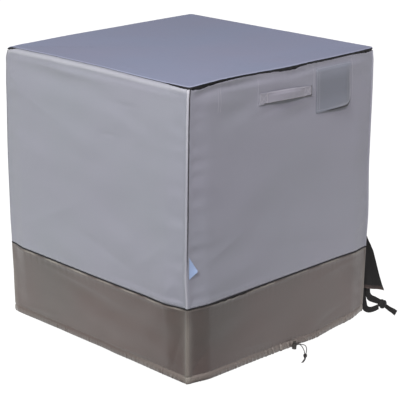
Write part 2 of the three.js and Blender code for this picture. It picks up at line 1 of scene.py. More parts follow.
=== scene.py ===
# A fitted weather cover for a square outdoor air conditioner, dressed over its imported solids.
# Metres, +Z up, in the solids' own frame. Each side is read from outside: x runs along it from its left
# corner to its right. The sections follow the cover as it is sewn together.

import math

import bpy
import numpy as np
from mathutils import Matrix, Vector


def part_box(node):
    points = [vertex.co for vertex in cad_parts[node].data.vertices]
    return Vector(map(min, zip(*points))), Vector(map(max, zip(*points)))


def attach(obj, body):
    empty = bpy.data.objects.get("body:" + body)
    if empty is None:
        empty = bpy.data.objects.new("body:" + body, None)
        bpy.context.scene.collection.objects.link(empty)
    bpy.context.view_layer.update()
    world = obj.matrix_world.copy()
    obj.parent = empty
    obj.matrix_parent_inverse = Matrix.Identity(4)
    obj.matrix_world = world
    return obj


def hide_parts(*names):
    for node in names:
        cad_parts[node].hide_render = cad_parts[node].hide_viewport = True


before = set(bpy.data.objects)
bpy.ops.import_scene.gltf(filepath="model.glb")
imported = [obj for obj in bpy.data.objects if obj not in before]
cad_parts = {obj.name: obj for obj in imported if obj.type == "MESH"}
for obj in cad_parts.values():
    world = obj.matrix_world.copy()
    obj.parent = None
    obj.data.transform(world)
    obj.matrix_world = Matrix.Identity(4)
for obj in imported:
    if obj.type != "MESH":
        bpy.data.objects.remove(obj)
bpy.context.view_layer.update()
bpy.ops.object.select_all(action="DESELECT")

# The walls: four panels of light grey coated polyester, joined by turned-in seams at the corners. They
# hang from the seam under the top's edge, belly out between their seams, and crease where the cloth is
# pulled. The seams pucker a little along their stitches.
WIDTH = 0.914
HALF = WIDTH / 2
SEAM_Z = -0.735
CLOTH = 0.002
GAP = 0.0003
CORNER_RADIUS = 0.010
CORNER_SEAM = 0.008
CORNER_SEAM_CLOTH = 0.0034
EDGE_TURN = 0.0012
TOP_PIPING = 0.0026
BAND_PIPING = 0.0025
BELLY_FADE = 0.095
WALL_GREY = (0.548, 0.552, 0.590)


def columns(names, rows):
    """A short table as one array for each named column."""
    return dict(zip(names.split(), np.array(rows, float).T))


def each_side(names, **rows):
    """A short table for each side."""
    return {side: columns(names, side_rows) for side, side_rows in rows.items()}


# Each side's outward direction, the direction along it, and the corners at its two ends.
SIDES = {
    "front": ((0, -1), (1, 0), ("front_left", "front_right")),
    "right": ((1, 0), (0, 1), ("front_right", "back_right")),
    "back": ((0, 1), (-1, 0), ("back_right", "back_left")),
    "left": ((-1, 0), (0, -1), ("back_left", "front_left")),
}

# How far each corner stands from the middle, by height. The front left corner also slips round
# towards the left side between the seams.
CORNER_REACH = columns("z front_left front_right back_right back_left slip", [
    (0.002, 0.457, 0.457, 0.457, 0.456, 0),
    (-0.012, 0.457, 0.458, 0.458, 0.459, 0.001),
    (-0.040, 0.458, 0.460, 0.460, 0.463, 0.002),
    (-0.150, 0.459, 0.461, 0.461, 0.465, 0.003),
    (-0.400, 0.460, 0.461, 0.462, 0.467, 0.004),
    (-0.620, 0.462, 0.465, 0.463, 0.466, 0.005),
    (SEAM_Z, 0.461, 0.463, 0.463, 0.464, 0.0015),
    (-0.870, 0.460, 0.462, 0.461, 0.462, 0.001),
    (-1.000, 0.459, 0.461, 0.460, 0.461, 0),
])

# How far the middle of each side bellies out past the line between its corners, by height.
BELLY = columns("z front right back left", [
    (0.002, 0, 0, 0, 0),
    (-0.012, -0.003, 0, 0, 0),
    (-0.040, 0.003, 0.003, 0.003, 0.003),
    (-0.150, 0.005, 0.006, 0.006, 0.006),
    (-0.400, 0.008, 0.009, 0.009, 0.009),
    (SEAM_Z, 0.013, 0.011, 0.011, 0.012),
    (-0.870, 0.013, 0.009, 0.009, 0.007),
    (-1.000, 0.014, 0.007, 0.007, 0.001),
])

# Soft ridges and troughs: place, half sizes along and across the fold, lean in degrees, and how far it
# rises or, when negative, sinks.
FOLD_COLUMNS = "x z long wide lean rise"
FOLDS = each_side(FOLD_COLUMNS,
    front=[
        (-0.350, -0.060, 0.090, 0.026, -8, 0.003),
        (-0.235, -0.112, 0.080, 0.034, 12, -0.0035),
        (-0.060, -0.044, 0.120, 0.022, -4, 0.0025),
        (0.060, -0.160, 0.110, 0.030, 8, -0.003),
        (0.400, -0.120, 0.060, 0.034, -60, -0.003),
        (-0.180, -0.420, 0.240, 0.070, 24, 0.003),
        (0.210, -0.500, 0.210, 0.080, -18, -0.0025),
        (-0.250, -0.660, 0.150, 0.045, 14, 0.003),
        (0.130, -0.985, 0.120, 0.060, 0, 0.011),
        (-0.240, -0.860, 0.170, 0.040, 8, -0.003),
        (0.330, -0.800, 0.090, 0.040, -24, -0.004),
    ],
    right=[
        (-0.120, -0.220, 0.160, 0.060, -30, -0.003),
        (0.160, -0.480, 0.220, 0.080, 20, 0.004),
        (0.060, -0.880, 0.200, 0.050, 5, -0.003),
    ],
    back=[
        (0.140, -0.240, 0.180, 0.070, 28, 0.003),
        (-0.140, -0.520, 0.220, 0.080, -16, -0.003),
        (-0.060, -0.900, 0.180, 0.050, -6, 0.003),
    ],
    left=[
        (-0.170, -0.066, 0.190, 0.030, -3, -0.004),
        (0.170, -0.130, 0.110, 0.030, -16, -0.0025),
        (-0.120, -0.300, 0.260, 0.070, 30, 0.003),
        (0.120, -0.470, 0.230, 0.070, 24, -0.003),
        (0.350, -0.690, 0.070, 0.060, 40, 0.005),
        (-0.060, -0.690, 0.210, 0.040, -8, 0.003),
        (-0.040, -0.800, 0.240, 0.034, -12, -0.004),
        (0.230, -0.960, 0.130, 0.028, 10, 0.004),
    ],
)

# Finer creases with crisp crests, in the same columns.
CREASES = each_side(FOLD_COLUMNS,
    front=[
        (-0.330, -0.022, 0.070, 0.009, -6, 0.0014),
        (-0.080, -0.020, 0.080, 0.008, -4, 0.0013),
        (0.010, -0.033, 0.060, 0.010, 5, -0.0012),
        (-0.060, -0.128, 0.075, 0.012, 9, -0.0016),
        (0.060, -0.134, 0.060, 0.010, 4, 0.0010),
        (-0.327, -0.055, 0.055, 0.004, 90, 0.0008),
        (-0.142, -0.050, 0.055, 0.004, 90, 0.0008),
        (0.135, -0.100, 0.070, 0.004, 90, 0.0007),
        (0.331, -0.095, 0.080, 0.004, 90, 0.0009),
        (0.400, -0.090, 0.050, 0.012, -50, 0.0014),
        (0.425, -0.240, 0.040, 0.010, 18, 0.0010),
        (-0.425, -0.330, 0.035, 0.009, -14, 0.0009),
        (-0.300, -0.560, 0.120, 0.018, 22, 0.0012),
        (0.120, -0.640, 0.150, 0.020, -10, -0.0012),
        (0.410, -0.640, 0.050, 0.011, 24, 0.0012),
        (0.300, -0.775, 0.130, 0.014, 6, 0.0014),
        (-0.300, -0.790, 0.100, 0.015, -8, -0.0012),
        (0.405, -0.830, 0.060, 0.014, -40, 0.0018),
        (-0.410, -0.930, 0.060, 0.013, 50, -0.0015),
        (-0.120, -0.950, 0.110, 0.013, -5, 0.0012),
        (0.250, -0.945, 0.090, 0.012, 12, -0.0014),
    ],
    right=[
        (-0.300, -0.050, 0.090, 0.010, 4, 0.0012),
        (0.120, -0.060, 0.110, 0.012, -5, -0.0012),
        (0.380, -0.140, 0.060, 0.013, 46, 0.0015),
        (-0.400, -0.300, 0.050, 0.011, -22, 0.0012),
        (0.100, -0.620, 0.160, 0.020, 12, 0.0012),
        (-0.250, -0.790, 0.110, 0.014, -9, -0.0014),
        (0.280, -0.900, 0.100, 0.014, 14, 0.0014),
    ],
    back=[
        (-0.280, -0.040, 0.100, 0.010, -4, 0.0012),
        (0.160, -0.070, 0.090, 0.012, 7, -0.0013),
        (-0.390, -0.180, 0.060, 0.012, -40, 0.0014),
        (0.410, -0.420, 0.050, 0.011, 20, 0.0012),
        (-0.060, -0.650, 0.170, 0.020, -12, 0.0013),
        (0.230, -0.800, 0.120, 0.014, 8, -0.0014),
        (-0.260, -0.920, 0.100, 0.014, -12, 0.0014),
    ],
    left=[
        (0.165, -0.102, 0.065, 0.009, 0, -0.0008),
        (0.095, -0.215, 0.030, 0.006, 2, -0.0011),
        (-0.090, -0.040, 0.160, 0.011, -2, 0.0013),
        (-0.425, -0.080, 0.028, 0.008, 22, 0.0014),
        (-0.430, -0.115, 0.024, 0.007, -24, -0.0013),
        (-0.430, -0.152, 0.026, 0.008, 14, 0.0012),
        (-0.250, -0.190, 0.100, 0.016, -18, 0.0010),
        (-0.200, -0.560, 0.170, 0.024, 26, 0.0014),
        (0.060, -0.620, 0.150, 0.020, -14, -0.0014),
        (0.300, -0.590, 0.110, 0.022, 36, 0.0013),
        (0.400, -0.660, 0.060, 0.016, 58, 0.0018),
        (-0.120, -0.775, 0.190, 0.012, -6, 0.0020),
        (0.120, -0.840, 0.150, 0.016, 14, -0.0012),
        (-0.300, -0.955, 0.090, 0.010, 5, 0.0018),
        (0.160, -0.965, 0.110, 0.010, 4, 0.0018),
        (0.405, -0.900, 0.070, 0.014, 72, -0.0016),
    ],
)

# The top edge along each side: how high it lies, how far it lies out over the wall, how far the wall's
# head has slipped down from its piping or, when negative, ridden up over it, and how far the piping
# stands out.
TOP_EDGE = each_side("x rise lip slip proud",
    front=[
        (-HALF, 0.004, 0.002, 0.0010, 0),
        (-0.440, 0.005, 0.003, 0.0044, 0),
        (-0.405, 0.0075, 0.006, 0.0085, 0),
        (-0.375, 0.0082, 0.005, 0.0052, 0),
        (-0.320, 0.0098, 0.0035, 0.0030, 0),
        (-0.240, 0.0092, 0.0035, 0.0010, 0),
        (-0.148, 0.007, 0.0035, 0.0008, 0),
        (-0.070, 0.005, 0.0050, 0.0022, 0),
        (-0.020, 0.0042, 0.0058, 0.0062, 0),
        (0.035, 0.004, 0.006, 0.0066, 0),
        (0.070, 0.0042, 0.0045, 0.0025, 0),
        (0.106, 0.0045, 0.0035, 0.0014, 0),
        (0.220, 0.004, 0.004, 0.0022, 0),
        (0.340, 0.0047, 0.003, 0.0012, 0),
        (0.420, 0.0053, 0.0022, 0.0046, 0),
        (HALF, 0.0055, 0.002, 0.0020, 0),
    ],
    right=[
        (-HALF, 0.0055, 0.002, 0.0020, 0),
        (0.100, 0.005, 0.002, 0.0015, 0),
        (HALF, 0.005, 0.002, 0.0005, 0),
    ],
    back=[
        (-HALF, 0.005, 0.002, 0.0005, 0),
        (0.150, 0.002, 0.0025, 0.0015, 0),
        (0.390, -0.002, 0.002, 0.0005, 0),
        (HALF, -0.0045, 0.002, 0.0020, 0),
    ],
    left=[
        (-HALF, -0.0045, 0.002, 0.0020, 0),
        (-0.430, 0.0015, 0.002, 0.0012, 0),
        (-0.400, 0.0026, 0.0016, -0.0046, -0.0039),
        (-0.200, 0.005, 0.0012, -0.0050, -0.0040),
        (0.020, 0.005, 0.0010, -0.0050, -0.0040),
        (0.320, 0.002, 0.0012, -0.0042, -0.0039),
        (0.420, 0.0035, 0.002, 0.0006, 0),
        (HALF, 0.004, 0.002, 0.0010, 0),
    ],
)

# The cloth rolls out beside its seams: how far under the top's edge, over the band's seam and under it.
ROLLS = each_side("x head foot band",
    front=[
        (-HALF, 0.0020, 0.0010, 0.0010),
        (-0.400, 0.0042, 0.0012, 0.0016),
        (-0.300, 0.0042, 0.0012, 0.0024),
        (-0.190, 0.0024, 0.0016, 0.0030),
        (-0.080, 0.0030, 0.0010, 0.0026),
        (0.060, 0.0034, 0.0008, 0.0018),
        (0.150, 0.0012, 0.0012, 0.0022),
        (0.300, 0.0022, 0.0010, 0.0026),
        (HALF, 0.0012, 0.0010, 0.0030),
    ],
    right=[
        (-HALF, 0.0012, 0.0010, 0.0020),
        (0.050, 0.0030, 0.0016, 0.0024),
        (HALF, 0.0015, 0.0010, 0.0016),
    ],
    back=[
        (-HALF, 0.0015, 0.0010, 0.0016),
        (-0.100, 0.0030, 0.0018, 0.0022),
        (HALF, 0.0018, 0.0010, 0.0018),
    ],
    left=[
        (-HALF, 0.0018, 0.0010, 0.0010),
        (-0.300, 0.0030, 0.0012, 0.0030),
        (-0.120, 0.0034, 0.0010, 0.0040),
        (0.060, 0.0034, 0.0012, 0.0026),
        (0.250, 0.0026, 0.0022, 0.0030),
        (0.400, 0.0020, 0.0036, 0.0028),
        (HALF, 0.0016, 0.0016, 0.0008),
    ],
)

# How much higher than level the band's seam runs, the hem's height, how deeply the hem gathers, how far
# the band has slipped down from its piping, and how strong the painted highlight along the hem is.
LOWER_LINES = each_side("x seam hem gather slip rubbed",
    front=[
        (-HALF, 0, -1.002, 0.0006, 0.0006, 0.50),
        (-0.380, 0, -1.003, 0.0010, 0.0004, 0.45),
        (-0.330, 0, -1.0035, 0.0012, 0.0034, 0.45),
        (-0.220, 0, -1.005, 0.0010, 0.0040, 0.40),
        (-0.150, 0, -1.006, 0.0014, 0.0014, 0.34),
        (-0.030, 0, -1.008, 0.0022, 0.0004, 0.40),
        (0.030, 0, -1.009, 0.0026, 0.0006, 0.42),
        (0.070, 0, -1.007, 0.0026, 0.0006, 0.25),
        (0.150, 0, -1.010, 0.0022, 0.0004, 0.30),
        (0.300, -0.001, -1.004, 0.0014, 0.0006, 0.45),
        (HALF, -0.004, -0.996, 0.0008, 0.0012, 0.70),
    ],
    right=[
        (-HALF, -0.004, -0.996, 0.0008, 0.0012, 0.50),
        (0.060, -0.002, -1.004, 0.0018, 0.0006, 0.30),
        (HALF, 0, -1.000, 0.0008, 0.0004, 0.30),
    ],
    back=[
        (-HALF, 0, -1.000, 0.0008, 0.0004, 0.30),
        (-0.060, -0.002, -1.003, 0.0018, 0.0008, 0.30),
        (HALF, 0.004, -1.001, 0.0008, 0.0004, 0.30),
    ],
    left=[
        (-HALF, 0.004, -1.001, 0.0006, 0.0004, 0.20),
        (-0.150, 0.001, -0.999, 0.0012, 0.0004, 0.05),
        (0.100, 0, -0.998, 0.0010, 0.0006, 0.05),
        (0.300, 0, -1.000, 0.0012, 0.0012, 0.32),
        (HALF, 0, -1.002, 0.0006, 0.0008, 0.40),
    ],
)

# How far the corner seams' turned-in edges lift the panel before the corner and draw in the one after
# it, how dark the painted shade in the crease beside them is, and how strong the painted highlight on
# them is. They lie flatter lower down.
SEAM_RIDGE = columns("z lift draw shade rubbed", [
    (0.010, 0.0024, -0.0022, 1.0, 0.28),
    (-0.080, 0.0024, -0.0022, 1.0, 0.20),
    (-0.330, 0.0021, -0.0018, 1.0, 0.09),
    (-0.430, 0.0020, -0.0014, 1.0, 0.09),
    (-0.540, 0.0020, -0.0012, 0.8, 0.06),
    (-0.640, 0.0020, -0.0006, 0.1, 0.13),
    (-0.735, 0.0020, -0.0006, 0.1, 0.15),
    (-0.745, 0.0018, -0.0006, 0.0, 0.06),
    (-1.010, 0.0016, -0.0006, 0.0, 0.06),
])


def eased(table, at, key, column):
    """A value from a table by a named column, easing from each row to the next."""
    places, values = table[at], table[column]
    if places[0] > places[-1]:
        places, values = places[::-1], values[::-1]
    row = np.clip(np.searchsorted(places, key) - 1, 0, len(places) - 2)
    t = np.clip((key - places[row]) / (places[row + 1] - places[row]), 0, 1)
    return values[row] + (values[row + 1] - values[row]) * t * t * (3 - 2 * t)


def soft_step(value, low, high):
    t = np.clip((value - low) / (high - low), 0, 1)
    return t * t * (3 - 2 * t)


def hump(distance, half_width, power=2):
    """One where the distance is nothing, fading out past the half width."""
    return np.exp(-(distance / half_width) ** power)


def ripple(place, pitch, seed):
    """Uneven waves of about that pitch along a seam, between about -1 and 1."""
    draw = np.random.default_rng(seed)
    waves = 5
    total = 0
    for _ in range(waves):
        total = total + np.sin(2 * math.pi * (place / (pitch * draw.uniform(0.6, 1.7)) + draw.uniform()))
    return total / (0.5 * waves)


def fold_height(table, x, z, crest):
    """All the folds of a table at a place. A crest of 2 is soft, and a smaller one is crisper."""
    out = 0
    for fx, fz, long, wide, lean, rise in zip(*table.values()):
        turn = math.radians(lean)
        along = ((x - fx) * math.cos(turn) + (z - fz) * math.sin(turn)) / long
        across = ((z - fz) * math.cos(turn) - (x - fx) * math.sin(turn)) / wide
        out = out + rise * np.exp(-along ** 2 - np.abs(across) ** crest)
    return out


def seam_line(side, x):
    return SEAM_Z + eased(LOWER_LINES[side], "x", x, "seam")


def top_piping_z(side, x):
    return eased(TOP_EDGE[side], "x", x, "rise") - EDGE_TURN - GAP - TOP_PIPING


def wall_head(side, x):
    slip = eased(TOP_EDGE[side], "x", x, "slip")
    ragged = 0.45 * np.clip(slip, 0, None) * ripple(x, 0.026, 7)
    return top_piping_z(side, x) - TOP_PIPING - GAP - slip - np.abs(ragged)


# Uneven waves in the cloth: how high, how long, and how far from their seam or edge they reach.
WAVES = {
    "head_pucker": (0.0007, 0.026, 0.022),
    "seam_pucker": (0.0006, 0.024, 0.020),
    "corner_pull": (0.0013, 0.060, 0.045),
}
SLACK = {"rise": 0.0011, "across": 0.260, "down": 0.210}
# Where each roll of cloth stands below its seam, and its half width.
ROLL_PLACES = {"head": (0.012, 0.009), "foot": (-0.012, 0.009), "band": (0.009, 0.006)}
CREASE_STRENGTH = 1.3


def waves(kind, place, from_seam, seed):
    rise, pitch, reach = WAVES[kind]
    return rise * ripple(place, pitch, seed) * np.exp(-from_seam / reach)


def stand_out(side, x, z):
    """How far the cloth stands out from the line between the side's corners."""
    seed = list(SIDES).index(side)
    from_corner = HALF - np.abs(x)
    soft = eased(BELLY, "z", z, side) + fold_height(FOLDS[side], x, z, 2)
    crisp = fold_height(CREASES[side], x, z, 1.5)
    below_head = np.clip(top_piping_z(side, x) - z, 0, None)
    below_seam = seam_line(side, x) - z
    pucker = waves("head_pucker", x, below_head, 10 + seed)
    pucker = pucker + waves("seam_pucker", x, np.abs(below_seam), 20 + seed)
    roll = 0
    for name, below in (("head", below_head), ("foot", below_seam), ("band", below_seam)):
        stands, half_width = ROLL_PLACES[name]
        roll = roll + eased(ROLLS[side], "x", x, name) * hump(below - stands, half_width)
    pull = waves("corner_pull", z, from_corner, 30 + seed)
    slack = SLACK["rise"] * ripple(x + 0.6 * z, SLACK["across"], 40 + seed)
    slack = slack * ripple(z - 0.3 * x, SLACK["down"], 50 + seed)
    fine = roll + CREASE_STRENGTH * crisp + pucker + pull + slack
    from_end = soft_step(from_corner, CORNER_RADIUS, 0.030)
    return soft * soft_step(from_corner, CORNER_RADIUS, BELLY_FADE) + fine * from_end


def corner_reach(side, z, slip_sign):
    """How far a side's two corners stand from the middle, in its outward direction or along it."""
    slip = {"front_left": slip_sign}
    return [
        eased(CORNER_REACH, "z", z, corner) + slip.get(corner, 0) * eased(CORNER_REACH, "z", z, "slip")
        for corner in SIDES[side][2]
    ]


def skin(side, x, z):
    """The middle of the cloth on a side. Neighbouring sides meet halfway round their rounded corner."""
    out, along, _ = SIDES[side]
    x, z = np.broadcast_arrays(np.asarray(x, float), np.asarray(z, float))
    towards_left = 1 if side == "left" else -1
    out_left, out_right = corner_reach(side, z, towards_left)
    along_left, along_right = corner_reach(side, z, -towards_left)
    straight = HALF - CORNER_RADIUS
    t = np.clip((x + straight) / (2 * straight), 0, 1)
    walk = (CORNER_RADIUS - along_left) * (1 - t) + (along_right - CORNER_RADIUS) * t
    stand = out_left * (1 - t) + out_right * t + stand_out(side, x, z)
    turn = np.clip(np.abs(x) - straight, 0, None) / CORNER_RADIUS * math.pi / 4
    walk = walk + np.sign(x) * CORNER_RADIUS * np.sin(turn)
    stand = stand - CORNER_RADIUS * (1 - np.cos(turn))
    return np.stack([along[0] * walk + out[0] * stand, along[1] * walk + out[1] * stand, z], axis=-1)


def facing(side, x, z):
    """The level direction in which the cloth faces there."""
    step = 0.001
    across = skin(side, x + step, z) - skin(side, x - step, z)
    level = np.stack([across[..., 1], -across[..., 0], np.zeros_like(across[..., 0])], axis=-1)
    return level / np.linalg.norm(level, axis=-1, keepdims=True)


def over(side, x, z, by):
    """A point that stands out from the cloth's middle by that much."""
    return skin(side, x, z) + facing(side, x, z) * np.asarray(by, float)[..., None]


def make_piece(name, points, faces, material, uv=None, smooth_to=40):
    """A mesh object at the origin, shaded smooth up to an angle in degrees, with its cloth's own UV map."""
    mesh = bpy.data.meshes.new(name)
    mesh.from_pydata(np.asarray(points).reshape(-1, 3).tolist(), [], [list(map(int, f)) for f in faces])
    if uv is not None:
        corner = np.zeros(len(mesh.loops), int)
        mesh.loops.foreach_get("vertex_index", corner)
        layer = mesh.uv_layers.new(name="cloth")
        layer.data.foreach_set("uv", np.asarray(uv, float).reshape(-1, 2)[corner].ravel())
    mesh.materials.append(material)
    piece = bpy.data.objects.new(name, mesh)
    bpy.context.scene.collection.objects.link(piece)
    bpy.ops.object.select_all(action="DESELECT")
    piece.select_set(True)
    bpy.context.view_layer.objects.active = piece
    bpy.ops.object.shade_smooth_by_angle(angle=math.radians(smooth_to))
    piece.select_set(False)
    return piece


def mark(piece, name, amount):
    """How strongly the cloth's points are marked, from 0 to 1: painted shade in creases and under edges,
    painted highlights on ridges, rolls and hems.
    """
    layer = piece.data.attributes.new(name, "FLOAT", "POINT")
    layer.data.foreach_set("value", np.clip(amount, 0, 1).ravel())


def cloth_sheet(name, middle, thick, material, shade=0, rubbed=0):
    """A closed sheet of cloth from the grid of its middle, rows running down and columns to the right."""
    rows, wide = middle.shape[:2]
    normal = np.cross(np.gradient(middle, axis=0), np.gradient(middle, axis=1))
    normal = normal / np.maximum(np.linalg.norm(normal, axis=-1, keepdims=True), 1e-12)
    half = np.broadcast_to(np.asarray(thick, float) / 2, (rows, wide))[..., None]
    skins = [middle + normal * half, middle - normal * half]
    points = np.concatenate([layer.reshape(-1, 3) for layer in skins])
    place = np.arange(rows * wide).reshape(rows, wide)
    quads = np.stack([place[:-1, :-1], place[1:, :-1], place[1:, 1:], place[:-1, 1:]], axis=-1)
    quads = quads.reshape(-1, 4)
    rim = np.concatenate([place[0, :-1], place[:-1, -1], place[-1, :0:-1], place[:0:-1, 0]])
    after = np.roll(rim, -1)
    behind = rows * wide
    edge = np.stack([rim, after, after + behind, rim + behind], axis=-1)
    faces = np.concatenate([quads, quads[:, ::-1] + behind, edge])
    across = np.cumsum(np.linalg.norm(np.diff(middle, axis=1, prepend=middle[:, :1]), axis=-1), axis=1)
    down = np.cumsum(np.linalg.norm(np.diff(middle, axis=0, prepend=middle[:1]), axis=-1), axis=0)
    uv = np.stack([across, -down], axis=-1).reshape(-1, 2)
    piece = make_piece(name, points, faces, material, np.concatenate([uv, uv]))
    mark(piece, "shade", np.tile(np.broadcast_to(shade, (rows, wide)).ravel(), 2))
    mark(piece, "rubbed", np.tile(np.broadcast_to(rubbed, (rows, wide)).ravel(), 2))
    return piece


def sew_on(piece, slot, *nodes):
    """The piece stands for these solids, which are hidden, and hangs from the root. The slot is not used.
    """
    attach(piece, "root")
    if nodes:
        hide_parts(*nodes)


def linear(colour):
    """A colour as seen, as the shader's linear one."""
    return tuple(((c + 0.055) / 1.055) ** 2.4 if c > 0.04 else c / 12.92 for c in colour) + (1,)


def new_material(name):
    """A fresh material: itself, its node tree and its shader."""
    material = bpy.data.materials.new(name)
    material.use_nodes = True
    return material, material.node_tree, material.node_tree.nodes["Principled BSDF"]


def set_sockets(tree, node, sockets):
    """Each named socket is set to a value, or linked from another node's output."""
    for socket, value in sockets.items():
        if isinstance(value, bpy.types.NodeSocket):
            tree.links.new(value, node.inputs[socket])
        else:
            node.inputs[socket].default_value = value


def add_node(tree, kind, sockets, **settings):
    node = tree.nodes.new("ShaderNode" + kind)
    for name, value in settings.items():
        setattr(node, name, value)
    set_sockets(tree, node, sockets)
    return node


def two_tones(tree, amount, ends, colours):
    """A colour that turns from the first to the second as the amount goes between its ends."""
    tones = add_node(tree, "ValToRGB", {0: amount})
    for element, end, colour in zip(tones.color_ramp.elements, ends, colours):
        element.position = end
        element.color = linear(colour)
    return tones.outputs[0]


# The near black that painted shade in creases and under edges turns the cloth towards.
PAINTED_SHADE_DARK = (0.012, 0.011, 0.013, 1)


def woven(name, colour, tint, roughness, thread, weave_depth, sheen=0.1, paler=(0.90, 0.90, 0.91)):
    """Woven cloth: two crossing sets of threads raised by bump, clouded with a second tint. Painted
    highlights make it paler on its ridges and rolls, and painted shade darkens its creases."""
    material, tree, shader = new_material(name)
    place = add_node(tree, "TexCoord", {})
    on_cloth, in_place = place.outputs["UV"], place.outputs["Object"]
    # The wave texture has 20 / (2 pi) bands in a unit at a scale of 1.
    wave = {"Scale": 2 * math.pi / (20 * thread), "Distortion": 0.3, "Vector": on_cloth}
    threads = [add_node(tree, "TexWave", wave, bands_direction=way) for way in ("X", "Y")]
    crossing = add_node(tree, "Math", {i: threads[i].outputs["Fac"] for i in (0, 1)}, operation="MULTIPLY")
    crossing = crossing.outputs[0]
    raised = add_node(tree, "Bump", {"Strength": 0.35, "Distance": weave_depth, "Height": crossing})
    cloud = add_node(tree, "TexNoise", {"Scale": 2.6, "Detail": 3, "Vector": in_place})
    tone = two_tones(tree, cloud.outputs["Fac"], (0.36, 0.66), (colour, tint))
    weave = add_node(tree, "Mix", {"Factor": 0.12, "A": tone, "B": crossing}, data_type="RGBA",
                     blend_type="MULTIPLY")
    tone = weave.outputs["Result"]
    for mark_name, shown in (("rubbed", linear(paler)), ("shade", PAINTED_SHADE_DARK)):
        amount = add_node(tree, "Attribute", {}, attribute_name=mark_name).outputs["Fac"]
        changed = add_node(tree, "Mix", {"Factor": amount, "A": tone, "B": shown}, data_type="RGBA")
        tone = changed.outputs["Result"]
    worn = add_node(tree, "TexNoise", {"Scale": 9, "Detail": 4, "Vector": in_place})
    gloss = {"To Min": roughness - 0.06, "To Max": roughness + 0.06, "Value": worn.outputs["Fac"]}
    set_sockets(tree, shader, {
        "Base Color": tone,
        "Roughness": add_node(tree, "MapRange", gloss).outputs[0],
        "Normal": raised.outputs[0],
        "Sheen Weight": sheen,
        "Sheen Roughness": 0.4,
        "Specular IOR Level": 0.45,
    })
    return material


def panel_places(step):
    """Places along a side between its corner seams, closer together where the cloth bends at them."""
    bend = HALF - np.array([GAP, 0.0016, 0.0032, 0.005, 0.0068, 0.0085, 0.0102, 0.0125, 0.016, 0.020])
    straight = np.linspace(-bend[-1], bend[-1], int(2 * bend[-1] / step) + 1)[1:-1]
    return np.concatenate([-bend, straight, bend[::-1]])


def seam_cloth(x):
    """The cloth's thickness: it is doubled up where a panel's edge is turned in at a corner."""
    return CLOTH + (CORNER_SEAM_CLOTH - CLOTH) * soft_step(CORNER_SEAM - (HALF - np.abs(x)), -0.002, 0.002)


def rows_down(tall, step):
    """Rows from a panel's head to its foot as shares of that height, closer together at both ends."""
    ends = np.array([0, 0.001, 0.0024, 0.0045, 0.0072]) / tall
    middle = np.linspace(ends[-1], 1 - ends[-1], int(tall / step) + 1)[1:-1]
    return np.concatenate([ends, middle, 1 - ends[::-1]])


def corner_ridge(side, x, z):
    """How far a panel stands off its skin beside its corner seams, and their painted shade and highlight.
    """
    before, after = HALF - x, HALF + x
    lift, draw, shade, rubbed = (eased(SEAM_RIDGE, "z", z, c) for c in ("lift", "draw", "shade", "rubbed"))
    wander = 0.3 * ripple(z, 0.045, 95)
    stand = lift * hump(before - 0.005, 0.0040, 4) + draw * hump(after, 0.0060)
    shade = shade * soft_step(after, 0.0076 + 0.0012 * wander, 0.0050)
    return stand, shade, rubbed * hump(before - 0.0030, 0.0034, 4)


wall_cloth = woven("wall cloth", WALL_GREY, (0.541, 0.552, 0.583), 0.45, 0.0011, 0.00025)
WALL_NODES = {side: f"wall_{side}" for side in SIDES}
CLOTH_ROW = 0.0062
CLOTH_STEP = 0.0060
# How strong the painted highlight on the roll under each side's head is.
HEAD_ROLL_HIGHLIGHT = {"front": 0.04, "right": 0.08, "back": 0.08, "left": 0.20}
for side in SIDES:
    x = panel_places(CLOTH_STEP)[None, :]
    head, foot = wall_head(side, x), seam_line(side, x) + BAND_PIPING + GAP
    share = rows_down(-SEAM_Z, CLOTH_ROW)[:, None]
    z = head + (foot - head) * share
    ridge, shade, rubbed = corner_ridge(side, x, z)
    below_head = top_piping_z(side, x) - z
    rubbed = rubbed + HEAD_ROLL_HIGHLIGHT[side] * hump(below_head - 0.009, 0.006)
    middle = over(side, x, z, ridge)
    wall = cloth_sheet(f"{side}_wall_panel", middle, seam_cloth(x + 0 * z), wall_cloth, shade, rubbed)
    sew_on(wall, "wall_cloth", WALL_NODES[side])

# The top: one panel of bluish grey cloth. Its edge is turned under and lies out over the walls' heads,
# and it drops a little at the back left corner.
TOP_BLUE = (0.466, 0.496, 0.580)
TOP_FOLDS = columns("x z long wide lean rise", [
    (-0.300, -0.300, 0.240, 0.070, 20, 0.0012),
    (0.150, -0.330, 0.260, 0.060, -8, -0.0012),
    (0.250, 0.180, 0.220, 0.090, 35, 0.0014),
    (-0.200, 0.250, 0.260, 0.080, -30, -0.0012),
    (-0.410, -0.150, 0.120, 0.018, 82, 0.0010),
    (0.050, -0.415, 0.140, 0.016, 3, -0.0010),
])


def top_height(points):
    """How far the top cloth's own soft folds lift it, fading out at its edge."""
    x, y = points[..., 0], points[..., 1]
    inside = soft_step(HALF - np.maximum(np.abs(x), np.abs(y)), 0, 0.06)
    return fold_height(TOP_FOLDS, x, y, 2) * inside


def top_edge_ring(places, inset, height):
    """One line round the top's edge, that far in from its lip and above its resting height."""
    ring = []
    for side in SIDES:
        x = places[1:]
        lip = eased(TOP_EDGE[side], "x", x, "lip") - inset
        line = over(side, x, CLOTH, lip)
        line[:, 2] = height + eased(TOP_EDGE[side], "x", x, "rise")
        ring.append(line)
    return np.concatenate(ring)


